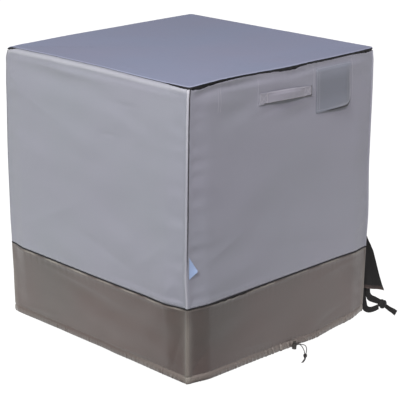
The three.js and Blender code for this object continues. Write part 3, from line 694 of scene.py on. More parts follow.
def top_panel():
    ends = HALF - np.array([0, 0.002, 0.0045, 0.0075, 0.0105, 0.015, 0.021])
    places = np.concatenate([-ends, np.linspace(-ends[-1], ends[-1], 118)[1:-1], ends[::-1]])
    # The edge's section from the top round to its inner foot.
    edge_section = columns("inset z", [
        (0.0040, CLOTH),
        (0.0022, 0.0018),
        (0.0010, 0.0012),
        (0.0002, 0.0003),
        (0, -0.0003),
        (0.0006, -0.0009),
        (0.0020, -EDGE_TURN),
        (0.0100, -EDGE_TURN),
        (0.0130, -0.0006),
        (0.0160, 0),
    ])
    section = list(zip(*edge_section.values()))
    count = len(places)
    u, v = np.meshgrid(places / HALF, places / HALF)
    reach = np.maximum(np.maximum(np.abs(u), np.abs(v)), 1e-9)
    layers, index = [], []
    total = 0
    for inset, height in (section[0], section[-1]):
        layer = np.zeros((count, count, 3))
        for side, (out, along, _) in SIDES.items():
            depth = out[0] * u + out[1] * v
            here = depth >= reach - 1e-9
            x = (along[0] * u + along[1] * v)[here] / reach[here] * HALF
            edge = over(side, x, CLOTH, eased(TOP_EDGE[side], "x", x, "lip") - inset)
            rise = eased(TOP_EDGE[side], "x", x, "rise") * reach[here] ** 6
            spots = edge[:, :2] * reach[here][:, None]
            layer[here] = np.column_stack([spots, height + rise])
        layer[..., 2] += top_height(layer)
        index.append(total + np.arange(count * count).reshape(count, count))
        layers.append(layer.reshape(-1, 3))
        total += count * count
    faces = []
    for grid, upwards in ((index[0], True), (index[1], False)):
        quads = np.stack([grid[:-1, :-1], grid[:-1, 1:], grid[1:, 1:], grid[1:, :-1]], axis=-1)
        quads = quads.reshape(-1, 4)
        faces.append(quads if upwards else quads[:, ::-1])
    # Each grid's rim in the ring's order: front, right, back, left, each without its first corner.
    rims = [
        np.concatenate([grid[0, 1:], grid[1:, -1], grid[-1, -2::-1], grid[-2::-1, 0]])
        for grid in index
    ]
    rings = [rims[0]]
    for inset, height in section[1:-1]:
        line = top_edge_ring(places, inset, height)
        layers.append(line)
        rings.append(total + np.arange(len(line)))
        total += len(line)
    rings.append(rims[1])
    for upper, lower in zip(rings, rings[1:]):
        faces.append(np.stack([upper, lower, np.roll(lower, -1), np.roll(upper, -1)], axis=-1))
    points = np.concatenate(layers)
    return points, np.concatenate(faces)


top_cloth = woven("top cloth", TOP_BLUE, (0.476, 0.492, 0.572), 0.5, 0.0011, 0.00025)
points, faces = top_panel()
top = make_piece("top_cloth_panel", points, faces, top_cloth, points[:, :2], 50)
# A faint painted highlight along the top's turned edge.
mark(top, "rubbed", 0.07 * soft_step(np.abs(points[:, :2]).max(axis=1), HALF - 0.004, HALF + 0.001))
sew_on(top, "top_cloth", "top_panel")

# The piping: two loops of cord, each wrapped in a strip of dark cloth whose flange is caught in the
# seam. The upper one's flange shows where the wall's head has slipped down from it.
PIPING_DARK = (0.065, 0.060, 0.070)
FLANGE = {"outer": -0.0013, "inner": -0.0023}


def piping_loop(name, radius, proud, line_z, flange_foot, node):
    """A loop of piping on a line round all four sides, with its flange down to that depth."""
    places = panel_places(CLOTH_STEP)
    places = np.concatenate([[-HALF], places[1:-1], [HALF]])
    angles = np.radians(np.linspace(-112, 205, 14))
    rings = []
    for number, side in enumerate(SIDES):
        x = places[1:]
        z = line_z(side, x)
        plump = radius * (1 + 0.05 * ripple(x, 0.035, 60 + number))
        out, up = plump[:, None] * np.cos(angles), plump[:, None] * np.sin(angles)
        cord = over(side, x[:, None], z[:, None] + 0 * out, proud(side, x)[:, None] + out)
        cord[..., 2] = z[:, None] + up
        strip = [
            over(side, x, z + flange_foot, FLANGE["inner"] + 0 * x),
            over(side, x, z + flange_foot, FLANGE["outer"] + 0 * x),
        ]
        rings.append(np.concatenate([cord, np.stack(strip, axis=1)], axis=1))
    rings = np.concatenate(rings)
    count, sides = rings.shape[:2]
    place = np.arange(count * sides).reshape(count, sides)
    ahead, around = np.roll(place, -1, axis=0), np.roll(place, -1, axis=1)
    both = np.roll(ahead, -1, axis=1)
    faces = np.stack([place, ahead, both, around], axis=-1).reshape(-1, 4)
    far = np.cumsum(np.linalg.norm(np.diff(rings[:, 0], axis=0, prepend=rings[:1, 0]), axis=-1))
    uv = np.stack(np.broadcast_arrays(far[:, None], np.linspace(0, 0.03, sides)[None, :]), axis=-1)
    loop = make_piece(name, rings, faces, piping_cloth, uv, 60)
    sew_on(loop, "piping", node)


piping_cloth = woven("piping cloth", PIPING_DARK, (0.055, 0.052, 0.060), 0.6, 0.0009, 0.0002, sheen=0.03)
piping_loop("top_edge_piping", TOP_PIPING, lambda side, x: eased(TOP_EDGE[side], "x", x, "proud"),
            top_piping_z, -0.0165, "top_piping")
piping_loop("band_seam_piping", BAND_PIPING, lambda side, x: 0.0008 + 0 * x,
            seam_line, -0.0120, "band_piping")

# The band: four panels of darker taupe cloth with more gloss. Each panel's foot is turned up and sewn
# into a puffed channel for the drawcord, which gathers it near the cord lock.
BAND_TAUPE = (0.360, 0.318, 0.304)
BAND_HEIGHT = 1 + SEAM_Z
HEM_HEIGHT = 0.026
HEM_ROWS = 16
HEM_STEP = 0.0050
# The doubled hem's thickness by height above its foot, down to the stitch line that closes it.
HEM_SECTION = columns("above thick", [
    (0, 0.0030),
    (0.0015, 0.0060),
    (0.0050, 0.0090),
    (0.0117, 0.0100),
    (0.0180, 0.0080),
    (0.0230, 0.0036),
    (HEM_HEIGHT, 0.0015),
    (0.0300, CLOTH),
])


def hem_line(side, x):
    return eased(LOWER_LINES[side], "x", x, "hem")


band_cloth = woven("band cloth", BAND_TAUPE, (0.336, 0.316, 0.300), 0.32, 0.0011, 0.00025, sheen=0.08,
                   paler=(0.62, 0.61, 0.57))
for number, side in enumerate(SIDES):
    x = panel_places(HEM_STEP)[None, :]
    plain, hem = rows_down(BAND_HEIGHT, CLOTH_ROW)[:, None], np.linspace(0, 1, HEM_ROWS + 1)[1:, None]
    slip = eased(LOWER_LINES[side], "x", x, "slip") * (1 + 0.3 * ripple(x, 0.050, 65 + number))
    head, foot = seam_line(side, x) - BAND_PIPING - GAP - slip, hem_line(side, x)
    stitch = foot + HEM_HEIGHT + 0.004
    z = np.concatenate([head + (stitch - head) * plain, stitch + (foot - stitch) * hem])
    above = z - foot
    gather = eased(LOWER_LINES[side], "x", x, "gather") * ripple(x, 0.013, 70 + number)
    away = soft_step(HALF - np.abs(x), CORNER_RADIUS, 0.03)
    fullness = hump(above - 0.012, 0.020) * away
    ridge, shade, rubbed = corner_ridge(side, x, z)
    uneven = np.clip(0.6 + 0.7 * ripple(x, 0.110, 75 + number), 0, 1)
    seam_roll_highlight = 200 * eased(ROLLS[side], "x", x, "band") * uneven * hump(head - z - 0.0030, 0.0024)
    in_hem = soft_step(HEM_HEIGHT - above, -0.004, 0.002) * soft_step(above, 0.002, 0.010)
    streaks = 0.62 + 0.24 * ripple(x, 0.014, 85 + number) * ripple(x, 0.120, 89)
    hem_highlight = 0.7 * eased(LOWER_LINES[side], "x", x, "rubbed") * in_hem * np.clip(streaks, 0, 1.2)
    corner_highlight = 0.26 * hump(HALF - np.abs(x), 0.017) * soft_step(head - z, -0.020, 0.090)
    # Painted highlights make the cloth paler on the roll under its seam, along its hem and down its
    # corners.
    rubbed = rubbed + seam_roll_highlight + hem_highlight + corner_highlight
    puffed = 0.0018 * fullness - 0.0010 * hump(above - HEM_HEIGHT, 0.003)
    middle = over(side, x, z, gather * fullness + puffed + ridge)
    middle[..., 2] += 0.15 * gather * fullness * ripple(x, 0.031, 80 + number)
    hem_thick = eased(HEM_SECTION, "above", above, "thick") * (1 + 50 * gather * fullness)
    hem_thick = hem_thick * (0.5 + 0.5 * away)
    thick = np.maximum(hem_thick, seam_cloth(x + 0 * z) * (above > HEM_HEIGHT))
    band = cloth_sheet(f"{side}_band_panel", middle, thick, band_cloth, shade, rubbed)
    sew_on(band, "band_cloth", f"band_{side}")

# The stitches along the hem, the band's seam and the corner seams: doubled polyester thread, each
# stitch sunk a little into the cloth.
STITCH = {"pitch": 0.0050, "long": 0.0036, "round": 0.00055}


def spots_along(line, run, at):
    """The points of a line at those distances along it."""
    return np.stack([np.interp(at, run, line[:, i]) for i in range(3)], axis=1)


def stitches(name, lines, material, slot):
    """Rows of stitches along lines, each given as its points and the directions they face."""
    sides = 6
    points, faces = [], []
    angles = np.linspace(0, 2 * math.pi, sides, endpoint=False)
    total = 0
    for line, face in lines:
        run = np.concatenate([[0], np.cumsum(np.linalg.norm(np.diff(line, axis=0), axis=1))])
        at = np.arange(STITCH["pitch"] / 2, run[-1], STITCH["pitch"])
        if len(at) == 0:
            continue
        centre = spots_along(line, run, at)
        way = spots_along(line, run, at + 0.0005) - centre
        up = spots_along(face, run, at)
        way = way / np.maximum(np.linalg.norm(way, axis=1, keepdims=True), 1e-9)
        up = up / np.linalg.norm(up, axis=1, keepdims=True)
        side = np.cross(way, up)
        half, fat = STITCH["long"] / 2, STITCH["round"]
        cos, sin = np.cos(angles)[None, :, None], np.sin(angles)[None, :, None]
        round_it = fat * (cos * side[:, None] + sin * up[:, None])
        rings = [centre[:, None] + way[:, None] * shift * half + round_it for shift in (-0.55, 0.55)]
        tips = [centre + way * shift * half - up * fat for shift in (-1, 1)]
        block = np.concatenate([*rings, tips[0][:, None], tips[1][:, None]], axis=1)
        each = 2 * sides + 2
        here = total + each * np.arange(len(at))[:, None]
        for i in range(sides):
            j = (i + 1) % sides
            faces += (here + [i, sides + i, sides + j, j]).tolist()
            faces += (here + [2 * sides, i, j]).tolist()
            faces += (here + [2 * sides + 1, sides + j, sides + i]).tolist()
        points.append(block.reshape(-1, 3))
        total += each * len(at)
    sew_on(make_piece(name, np.concatenate(points), faces, material, None, 80), slot)


def grained(name, texture, scale, colours, roughness, **raised):
    """A fine grain in two colours, raised by bump where its strength and distance are given."""
    material, tree, shader = new_material(name)
    place = add_node(tree, "TexCoord", {})
    grain = add_node(tree, texture, {"Scale": scale, "Vector": place.outputs["Object"]}).outputs[0]
    set_sockets(tree, shader, {
        "Base Color": two_tones(tree, grain, (0, 1), colours),
        "Roughness": roughness,
    })
    if raised:
        bump = {"Strength": raised["strength"], "Distance": raised["distance"], "Height": grain}
        bump = add_node(tree, "Bump", bump, invert=raised.get("sunk", False))
        set_sockets(tree, shader, {"Normal": bump.outputs[0]})
    return material


def thread(name, colour):
    """Twisted thread with a soft shine."""
    return grained(name, "TexNoise", 900, ([0.82 * c for c in colour], colour), 0.45)


def stitch_line(side, x, z, lift):
    """A line of stitches on a side's cloth, and the directions in which it faces."""
    x, z = np.broadcast_arrays(x, z)
    return over(side, x, z, lift + 0 * x), facing(side, x, z)


wall_thread = thread("wall thread", (0.74, 0.74, 0.77))
band_thread = thread("band thread", (0.47, 0.445, 0.425))
along = np.linspace(0.012 - HALF, HALF - 0.012, 260)
upright = np.linspace(-0.014, SEAM_Z + 0.006, 200)
CORNER_STITCH = HALF - 0.0095
SEAM_STITCH = 0.0085
# How far the rows' middles lie over the middle of the cloth.
ON_CLOTH = CLOTH / 2 + 0.0001
for name, x, height, lift, material, slot in (
    ("hem_stitching", along, lambda side, x: hem_line(side, x) + HEM_HEIGHT, CLOTH / 2,
     band_thread, "band_cloth"),
    ("band_seam_stitching", along, lambda side, x: seam_line(side, x) - SEAM_STITCH, ON_CLOTH,
     band_thread, "band_cloth"),
    ("wall_seam_stitching", along, lambda side, x: seam_line(side, x) + SEAM_STITCH, ON_CLOTH,
     wall_thread, "wall_cloth"),
    ("corner_seam_stitching", CORNER_STITCH, lambda side, x: upright, ON_CLOTH,
     wall_thread, "wall_cloth"),
):
    rows = [stitch_line(side, x, height(side, x), lift) for side in SIDES]
    stitches(name, rows, material, slot)

# The handle: a strap of doubled wall cloth, box-stitched at both ends, which bows off the wall between
# them. Its long edges slope down to the right, and its upper edge leans back to the wall.
HANDLE = {"left": -0.140, "right": 0.117, "sewn": 0.038, "cloth": 0.0026, "bow": 0.008}
# The share of the bow across the strap, from its upper edge, which leans back, to its lower one.
STRAP_SECTION = columns("t share", [
    (0, 0.20),
    (0.10, 0.55),
    (0.35, 1.15),
    (0.70, 1.10),
    (0.90, 1.02),
    (1, 0.94),
])
HANDLE_EDGES = columns("left_z right_z", [(-0.066, -0.078), (-0.104, -0.112)])


def seated(cloth):
    """The height of a trim's middle over the wall cloth's middle, where the trim lies flat on it."""
    return CLOTH / 2 + GAP + cloth / 2


def handle_place(x, t, lift=0):
    """A point on the strap: t runs from its upper edge to its lower one."""
    start, end = HANDLE["left"] + HANDLE["sewn"], HANDLE["right"] - HANDLE["sewn"]
    share = np.clip((x - start) / (end - start), 0, 1)
    free = np.sin(math.pi * share) ** 0.8
    bow = HANDLE["bow"] * free
    left, right = HANDLE_EDGES["left_z"], HANDLE_EDGES["right_z"]
    upper, lower = (
        left[i] + (right[i] - left[i]) * (x - HANDLE["left"]) / (HANDLE["right"] - HANDLE["left"])
        for i in (0, 1)
    )
    z = upper + (lower - upper) * t + 0.4 * bow
    rumple = 0.0006 * ripple(x + 0.3 * t * HANDLE["sewn"], 0.034, 90) * free
    off = seated(HANDLE["cloth"]) + bow * eased(STRAP_SECTION, "t", t, "share") + rumple
    return over("front", x, z, off + lift)


handle_cloth = woven("handle cloth", (0.560, 0.558, 0.592), (0.545, 0.550, 0.572), 0.46, 0.0011, 0.00025)
x = np.linspace(HANDLE["left"], HANDLE["right"], 80)[None, :]
t = np.concatenate([[0, 0.02, 0.06, 0.12], np.linspace(0.2, 0.8, 7), [0.86, 0.89, 0.92, 0.96, 0.98, 1]])
t = t[:, None]
edge_fold = 1 - 0.35 * (np.abs(t - 0.5) < 0.36) + 0 * x
from_end = np.minimum(x - HANDLE["left"], HANDLE["right"] - x)
end_fold = 0.45 * soft_step(from_end, HANDLE["sewn"] - 0.001, HANDLE["sewn"] - 0.004) + 0 * t
end_lift = 0.5 * end_fold * HANDLE["cloth"]
# Painted shadow darkens its lower edge and its right end, where it stands off the wall.
under_edge_shadow = 0.9 * soft_step(t, 0.89, 0.93) * soft_step(x, HANDLE["left"] + 0.016, HANDLE["left"] + 0.024)
end_edge_shadow = 0.7 * soft_step(x, HANDLE["right"] - 0.006, HANDLE["right"] - 0.003) + 0 * t
strap = cloth_sheet("carry_strap", handle_place(x + 0 * t, t + 0 * x, end_lift),
                    HANDLE["cloth"] * (edge_fold + end_fold), handle_cloth, under_edge_shadow + end_edge_shadow)
sew_on(strap, "handle_cloth", "handle")


def strap_line(corners):
    """Stitches on the strap between corners that are given as x and t."""
    spots = np.concatenate([
        np.linspace(a, b, 12) for a, b in zip(np.array(corners[:-1]), np.array(corners[1:]))
    ])
    lift = HANDLE["cloth"] * 0.75
    x, t = spots.T
    return handle_place(x, t, lift), facing("front", x, -0.09 + 0 * x)


boxes = []
BOX_LONG = 0.032
for near in (HANDLE["left"] + 0.003, HANDLE["right"] - 0.003 - BOX_LONG):
    far = near + BOX_LONG
    boxes.append(strap_line([(near, 0.08), (far, 0.08), (far, 0.92), (near, 0.92), (near, 0.08)]))
    boxes.append(strap_line([(near, 0.08), (far, 0.92)]))
    boxes.append(strap_line([(near, 0.92), (far, 0.08)]))
for edge in (0.07, 0.93):
    boxes.append(strap_line([(HANDLE["left"] + 0.037, edge), (HANDLE["right"] - 0.037, edge)]))
strap_thread = thread("strap thread", (0.80, 0.80, 0.82))
stitches("strap_stitching", boxes, strap_thread, "handle_cloth")

# The vent's hood: a single patch of slightly greener grey cloth, sewn at its head and sides. Its lower
# right corner is rounded, and its open foot, with a narrow turned hem, lifts off the wall.
VENT = {"left": 0.145, "right": 0.322, "bottom": -0.180, "top": -0.024, "round": 0.026, "cloth": 0.0016,
        "lift": 0.0065}


def hood_place(across, down, lift=0):
    """A point on the hood: across from its left side to its right, and down from its head to its foot."""
    x = VENT["left"] + (VENT["right"] - VENT["left"]) * across
    turn = np.clip((x - VENT["right"] + VENT["round"]) / VENT["round"], 0, 1)
    foot = VENT["bottom"] + VENT["round"] * (1 - np.sqrt(1 - turn ** 2))
    swell = np.sin(math.pi * np.clip(across, 0, 1) ** 2) ** 0.8 * down ** 1.4
    z = VENT["top"] + (foot - VENT["top"]) * down
    fold = 0.0012 * hump(across - 0.86, 0.05) * np.sin(math.pi * np.clip(down, 0, 1))
    return over("front", x, z, seated(VENT["cloth"]) + VENT["lift"] * swell + fold + lift), x, z


vent_cloth = woven("vent cloth", (0.508, 0.528, 0.568), (0.506, 0.526, 0.560), 0.44, 0.0011, 0.00025)
across = np.concatenate([np.linspace(0, 0.85, 42), np.linspace(0.86, 1, 18)])[None, :]
down = np.concatenate([np.linspace(0, 0.93, 38), np.linspace(0.94, 1, 8)])[:, None]
middle, x, z = hood_place(across + 0 * down, down + 0 * across)
turned = 1 + 0.5 * soft_step(down, 0.945, 0.955) + 0 * across
# Painted shade darkens it, most in its upper middle, a painted shadow darkens its foot, and painted
# highlights make it paler beside its free side and hem.
upper_shade = 0.30 * soft_step(down, 0, 0.38) - 0.13 * soft_step(down, 0.55, 0.90) + 0 * across
foot_shadow = 0.85 * soft_step(down, 0.994 - 0.054 * across, 1 - 0.038 * across)
foot_shadow = foot_shadow * soft_step(across, 0.02, 0.40)
side_highlight = 0.30 * hump(across - 0.985, 0.014) * soft_step(down, 0.10, 0.50)
hem_highlight = 0.16 * hump(down - 0.925, 0.018) * soft_step(across, 0.20, 0.90)
hood = cloth_sheet("vent_hood_patch", middle, VENT["cloth"] * turned, vent_cloth, upper_shade + foot_shadow,
                   side_highlight + hem_highlight)
sew_on(hood, "vent_cloth", "vent_hood")


def hood_line(start, end):
    """Stitches on the hood between two corners given as across and down."""
    spots = np.linspace(start, end, 40)
    line, x, z = hood_place(spots[:, 0], spots[:, 1], VENT["cloth"] / 2)
    return line, facing("front", x, z)


HOOD_ROWS = [
    ((0.02, 0.02), (0.98, 0.02)),
    ((0.02, 0.02), (0.02, 0.98)),
    ((0.08, 0.03), (0.08, 0.98)),
    ((0.98, 0.02), (0.98, 0.9)),
    ((0.02, 0.947), (0.84, 0.947)),
]
stitches("vent_stitching", [hood_line(*row) for row in HOOD_ROWS], wall_thread, "vent_cloth")

# The reinforcing stitches behind the handle: upright rows down the front, on either side of it.
BACKING_ROWS = columns("x top bottom", [
    (-0.332, -0.014, -0.100),
    (-0.321, -0.014, -0.100),
    (-0.146, -0.014, -0.107),
    (0.130, -0.014, -0.120),
    (0.334, -0.014, -0.186),
])
backing = []
for row_x, top_z, bottom_z in zip(*BACKING_ROWS.values()):
    backing.append(stitch_line("front", row_x, np.linspace(top_z, bottom_z, 40), ON_CLOTH))
stitches("backing_stitching", backing, wall_thread, "wall_cloth")

# The label: a blank slip of pale blue satin ribbon, caught in the front left corner seam and folded
# to a point.
LABEL = {"top": -0.558, "bottom": -0.632, "tip_x": -0.416, "tip_z": -0.607, "tip": 0.004,
         "cloth": 0.001, "lift": 0.005}
label_cloth = woven("label satin", (0.58, 0.66, 0.80), (0.60, 0.68, 0.80), 0.38, 0.0006, 0.0001, sheen=0.2)
across, down = np.meshgrid(np.linspace(0, 1, 20), np.linspace(0, 1, 24))
seam_x = CORNER_RADIUS + 0.001 - HALF
x = seam_x + (LABEL["tip_x"] - seam_x) * across
head = LABEL["top"] + (LABEL["tip_z"] + LABEL["tip"] - LABEL["top"]) * across
foot = LABEL["bottom"] + (LABEL["tip_z"] - LABEL["tip"] - LABEL["bottom"]) * across
z = head + (foot - head) * down
lift = seated(LABEL["cloth"]) + LABEL["lift"] * across * down + 0.0012 * np.sin(math.pi * down) * across
label = cloth_sheet("blank_label", over("front", x, z, lift), LABEL["cloth"], label_cloth)
sew_on(label, "label_cloth", "label")

# The flap: matte black cloth, sewn to the right wall behind the front corner. Its free edge slants out
# as it hangs, and its hem rises towards the wall.
FLAP = {"y": -0.447, "swing": -12, "tab": 0.024, "cloth": 0.0016, "hem_rise": 0.036, "hem": 0.018}
FLAP_SHAPE = columns("z reach wave lift", [
    (-0.692, 0.003, 0, 0),
    (-0.712, 0.013, 0.001, 0),
    (-0.727, 0.020, 0.001, 0.0004),
    (-0.739, 0.026, 0.002, 0.0028),
    (-0.751, 0.034, 0.003, 0.0004),
    (-0.768, 0.044, 0.004, 0),
    (-0.822, 0.064, 0.006, 0),
    (-0.879, 0.084, 0.003, 0),
    (-0.916, 0.099, -0.002, 0),
    (-0.941, 0.111, -0.005, 0),
])
FLAP_LEVEL = -0.768
swing = math.radians(FLAP["swing"])
FLAP_OUT = np.array([math.cos(swing), math.sin(swing), 0])
FLAP_BACK = np.array([-FLAP_OUT[1], FLAP_OUT[0], 0])


def hung(s, z, by, lift=0):
    """A point of what hangs in the flap's plane: s out from the wall, or back along it where negative."""
    s, z, by, lift = np.broadcast_arrays(*(np.asarray(a, float) for a in (s, z, by, lift)))
    behind = np.minimum(s, 0)
    foot = over("right", FLAP["y"] - behind, z, seated(FLAP["cloth"]) + lift + np.where(s < 0, by, 0))
    out = np.maximum(s, 0)[..., None]
    return foot + FLAP_OUT * out + FLAP_BACK * np.where(s >= 0, by, 0)[..., None]


def flap_place(share, z):
    """A point of the flap: share runs out to its free edge, and is negative on its sewn tab."""
    reach, wave, lift = (np.interp(-z, -FLAP_SHAPE["z"], FLAP_SHAPE[c]) for c in ("reach", "wave", "lift"))
    low = np.clip((FLAP_LEVEL - z) / (FLAP_LEVEL - FLAP_SHAPE["z"][-1]), 0, 1)
    out = np.clip(share, 0, 1)
    s = np.where(share < 0, share * FLAP["tab"], reach * out)
    by = wave * np.sin(math.pi * out) - 0.006 * np.sin(2 * math.pi * out) * low
    by = by + 0.0012 * np.sin(9 * out) * low ** 2 * out
    return hung(s, z + FLAP["hem_rise"] * low * (1 - out), by, lift)


flap_cloth = woven("flap cloth", (0.040, 0.036, 0.034), (0.065, 0.058, 0.055), 0.9, 0.0014, 0.0004,
                   sheen=0, paler=(0.32, 0.27, 0.25))
share = np.concatenate([np.linspace(-1, -0.12, 8), [-0.05], np.linspace(0, 1, 44)])[None, :]
z = np.linspace(FLAP_SHAPE["z"][0], FLAP_SHAPE["z"][-1], 84)[:, None]
hem_top = FLAP_SHAPE["z"][-1] + FLAP["hem"]
hem_fold = 1 + 0.7 * soft_step(z, hem_top, hem_top - 0.002)
side_fold = 0.6 * soft_step(share, 0.9, 0.93)
# The turned-up hem is browner and paler, most of all along its foot: partly the hem's own browner
# cloth, partly a painted highlight.
over_foot = z - FLAP_SHAPE["z"][-1] + 0 * share
brown_and_highlight = 0.35 * soft_step(over_foot, FLAP["hem"], FLAP["hem"] - 0.002)
brown_and_highlight = brown_and_highlight + 0.5 * soft_step(over_foot, 0.006, 0.001)
flap = cloth_sheet("hanging_flap", flap_place(share + 0 * z, z + 0 * share)[:, ::-1],
                   (FLAP["cloth"] * (hem_fold + side_fold))[:, ::-1], flap_cloth, 0, brown_and_highlight[:, ::-1])
sew_on(flap, "flap_cloth", "side_flap")

# The ties: two flat black woven tapes, one sewn behind the flap's hem and one to the band, knotted
# together outside the corner, with one end hanging free from the knot.
TAPE_CLOTH = 0.0016
ROUTE_COLUMNS = "s z by width"
UPPER_TIE = columns(ROUTE_COLUMNS, [
    (0.0290, -0.893, -0.0013, 0.018),
    (0.0300, -0.918, 0.0006, 0.020),
    (0.0335, -0.940, 0.0022, 0.022),
    (0.0445, -0.9575, 0.003, 0.025),
    (0.0635, -0.9685, 0.002, 0.025),
    (0.0891, -0.9821, 0, 0.020),
])
LOWER_TIE = columns(ROUTE_COLUMNS, [
    (0.0135, -0.899, 0.0028, 0.024),
    (0.013, -0.918, 0.0034, 0.024),
    (0.0125, -0.938, 0.0044, 0.024),
    (0.014, -0.957, 0.0036, 0.024),
    (0.0175, -0.976, 0.002, 0.024),
    (0.025, -0.996, 0.002, 0.024),
    (0.043, -1.0055, 0, 0.023),
    (0.064, -1.005, -0.002, 0.023),
    (0.085, -1.0014, -0.002, 0.022),
])
TIE_END = columns(ROUTE_COLUMNS, [
    (0.1201, -1.0057, 0, 0.015),
    (0.142, -1.023, -0.003, 0.018),
    (0.159, -1.0345, -0.002, 0.020),
    (0.178, -1.049, 0.002, 0.022),
])


def smooth_line(points, steps):
    """A smooth curve through points, with that many steps between each two of them."""
    points = np.asarray(points, float)
    line = np.vstack([2 * points[0] - points[1], points, 2 * points[-1] - points[-2]])
    t = np.linspace(0, 1, steps, endpoint=False)[:, None]
    curve = []
    for a, b, c, d in zip(line[:-3], line[1:-2], line[2:-1], line[3:]):
        curve.append(b + 0.5 * t * (c - a + t * (2 * a - 5 * b + 4 * c - d + t * (3 * (b - c) + d - a))))
    return np.vstack([*curve, points[-1:]])


def tape(name, route, node):
    middle = smooth_line(np.stack([route["s"], route["z"], route["by"]], axis=1), 9)
    run = np.linspace(0, len(route["s"]) - 1, len(middle))
    width = np.interp(run, np.arange(len(route["s"])), route["width"])
    way = np.gradient(middle, axis=0)
    side = np.stack([-way[:, 1], way[:, 0]], axis=1)
    side = side / np.linalg.norm(side, axis=1, keepdims=True)
    share = np.linspace(0.5, -0.5, 9)[:, None]
    s = middle[:, 0] + side[:, 0] * width * share
    z = middle[:, 1] + side[:, 1] * width * share
    cupped = middle[:, 2] - 0.0006 * (1 - 4 * share ** 2)
    tape_edge = 1 - 0.25 * (np.abs(share) > 0.42) + 0 * s
    piece = cloth_sheet(name, hung(s, z, cupped), TAPE_CLOTH * tape_edge, tie_webbing)
    sew_on(piece, "tie_webbing", node)


tie_webbing = woven("tie webbing", (0.045, 0.040, 0.038), (0.075, 0.067, 0.063), 0.85, 0.0016, 0.0005,
                    sheen=0.01)
tape("upper_tie_tape", UPPER_TIE, "tie_upper")
tape("lower_tie_tape", LOWER_TIE, "tie_lower")
tape("free_tie_end", TIE_END, "tie_end")

# The ties' knot: the two tapes wrapped round each other and pulled tight, with a waist between the
# wraps and the folds of the tape running round it.
KNOT = columns("along tall deep", [
    (-0.0190, 0.0070, 0.0030),
    (-0.0160, 0.0130, 0.0080),
    (-0.0090, 0.0160, 0.0120),
    (-0.0020, 0.0150, 0.0100),
    (0.0050, 0.0180, 0.0130),
    (0.0130, 0.0150, 0.0100),
    (0.0180, 0.0080, 0.0040),
])
KNOT_CENTRE = {"s": 0.105, "z": -0.9945, "lean": -35}
WRAP_FOLDS = 5
steps = np.linspace(KNOT["along"][0], KNOT["along"][-1], 40)[:, None]
angles = np.linspace(0, 2 * math.pi, 40, endpoint=False)[None, :]
lean = math.radians(KNOT_CENTRE["lean"])
wrap = np.sin(angles + 260 * steps) * np.sin(WRAP_FOLDS * angles / 2 + 150 * steps) ** 2
waist = 1 - 0.10 * hump(steps + 0.002, 0.0014) - 0.05 * np.abs(wrap)
up = np.interp(steps, KNOT["along"], KNOT["tall"]) * waist * np.sin(angles)
deep = np.interp(steps, KNOT["along"], KNOT["deep"]) * waist * np.cos(angles)
s = KNOT_CENTRE["s"] + math.cos(lean) * steps - math.sin(lean) * up
z = KNOT_CENTRE["z"] + math.sin(lean) * steps + math.cos(lean) * up
body = hung(s, z, deep)
rings, around = body.shape[:2]
caps = np.stack([body[0].mean(axis=0), body[-1].mean(axis=0)])
place = np.arange(rings * around).reshape(rings, around)
beside = np.roll(place, -1, axis=1)
walls = np.stack([place[:-1], beside[:-1], beside[1:], place[1:]], axis=-1).reshape(-1, 4)
faces = walls.tolist()
faces += [[rings * around, beside[0, i], place[0, i]] for i in range(around)]
faces += [[rings * around + 1, place[-1, i], beside[-1, i]] for i in range(around)]
uv = np.stack(np.broadcast_arrays(angles * 0.014, steps), axis=-1).reshape(-1, 2)
knot = make_piece("tie_tape_knot", np.vstack([body.reshape(-1, 3), caps]), faces, tie_webbing,
                  np.vstack([uv, [[0, 0], [0, 0]]]), 60)
sew_on(knot, "tie_webbing", "tie_knot")

# The cord lock: a moulded dark grey plastic barrel with a sprung button on top. The cord passes through
# the eye in its side, and it rests against the front hem, leaning a little.
LOCK = {"x": 0.037, "z": -0.999, "radius": 0.008, "height": 0.027, "lean": 7}
lock_low, lock_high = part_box("cord_lock")
LOCK_Y = (lock_low.y + lock_high.y) / 2


def set_in_place(piece, material, bevel):
    """Rounds a moulded piece's edges, leans it with the lock and leaves its place in its mesh."""
    rounding = piece.modifiers.new("rounding", "BEVEL")
    rounding.width = bevel
    rounding.segments = 3
    rounding.limit_method = "ANGLE"
    bpy.ops.object.modifier_apply(modifier=rounding.name)
    lean = Matrix.Rotation(math.radians(LOCK["lean"]), 4, "Y")
    piece.data.transform(Matrix.Translation((LOCK["x"], LOCK_Y, LOCK["z"])) @ lean)
    piece.data.materials.append(material)
    bpy.ops.object.shade_smooth_by_angle(angle=math.radians(35))
    piece.select_set(False)
    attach(piece, "root")


def turned_part(name, radius, low, high):
    """A round part between two heights, modelled at the origin."""
    bpy.ops.object.select_all(action="DESELECT")
    bpy.ops.mesh.primitive_cylinder_add(vertices=40, radius=radius, depth=high - low,
                                        location=(0, 0, (low + high) / 2))
    piece = bpy.context.object
    piece.name = name
    piece.data.name = name
    bpy.ops.object.transform_apply(location=True, rotation=True, scale=True)
    return piece


LOCK_GREY = (0.17, 0.16, 0.15)
# A fine grain in the moulded plastic.
lock_plastic = grained("lock plastic", "TexNoise", 1400, ([0.9 * c for c in LOCK_GREY], LOCK_GREY), 0.42,
                       strength=0.3, distance=0.0001)
barrel = turned_part("cord_lock_barrel", LOCK["radius"], -LOCK["height"] / 2, 0.0062)
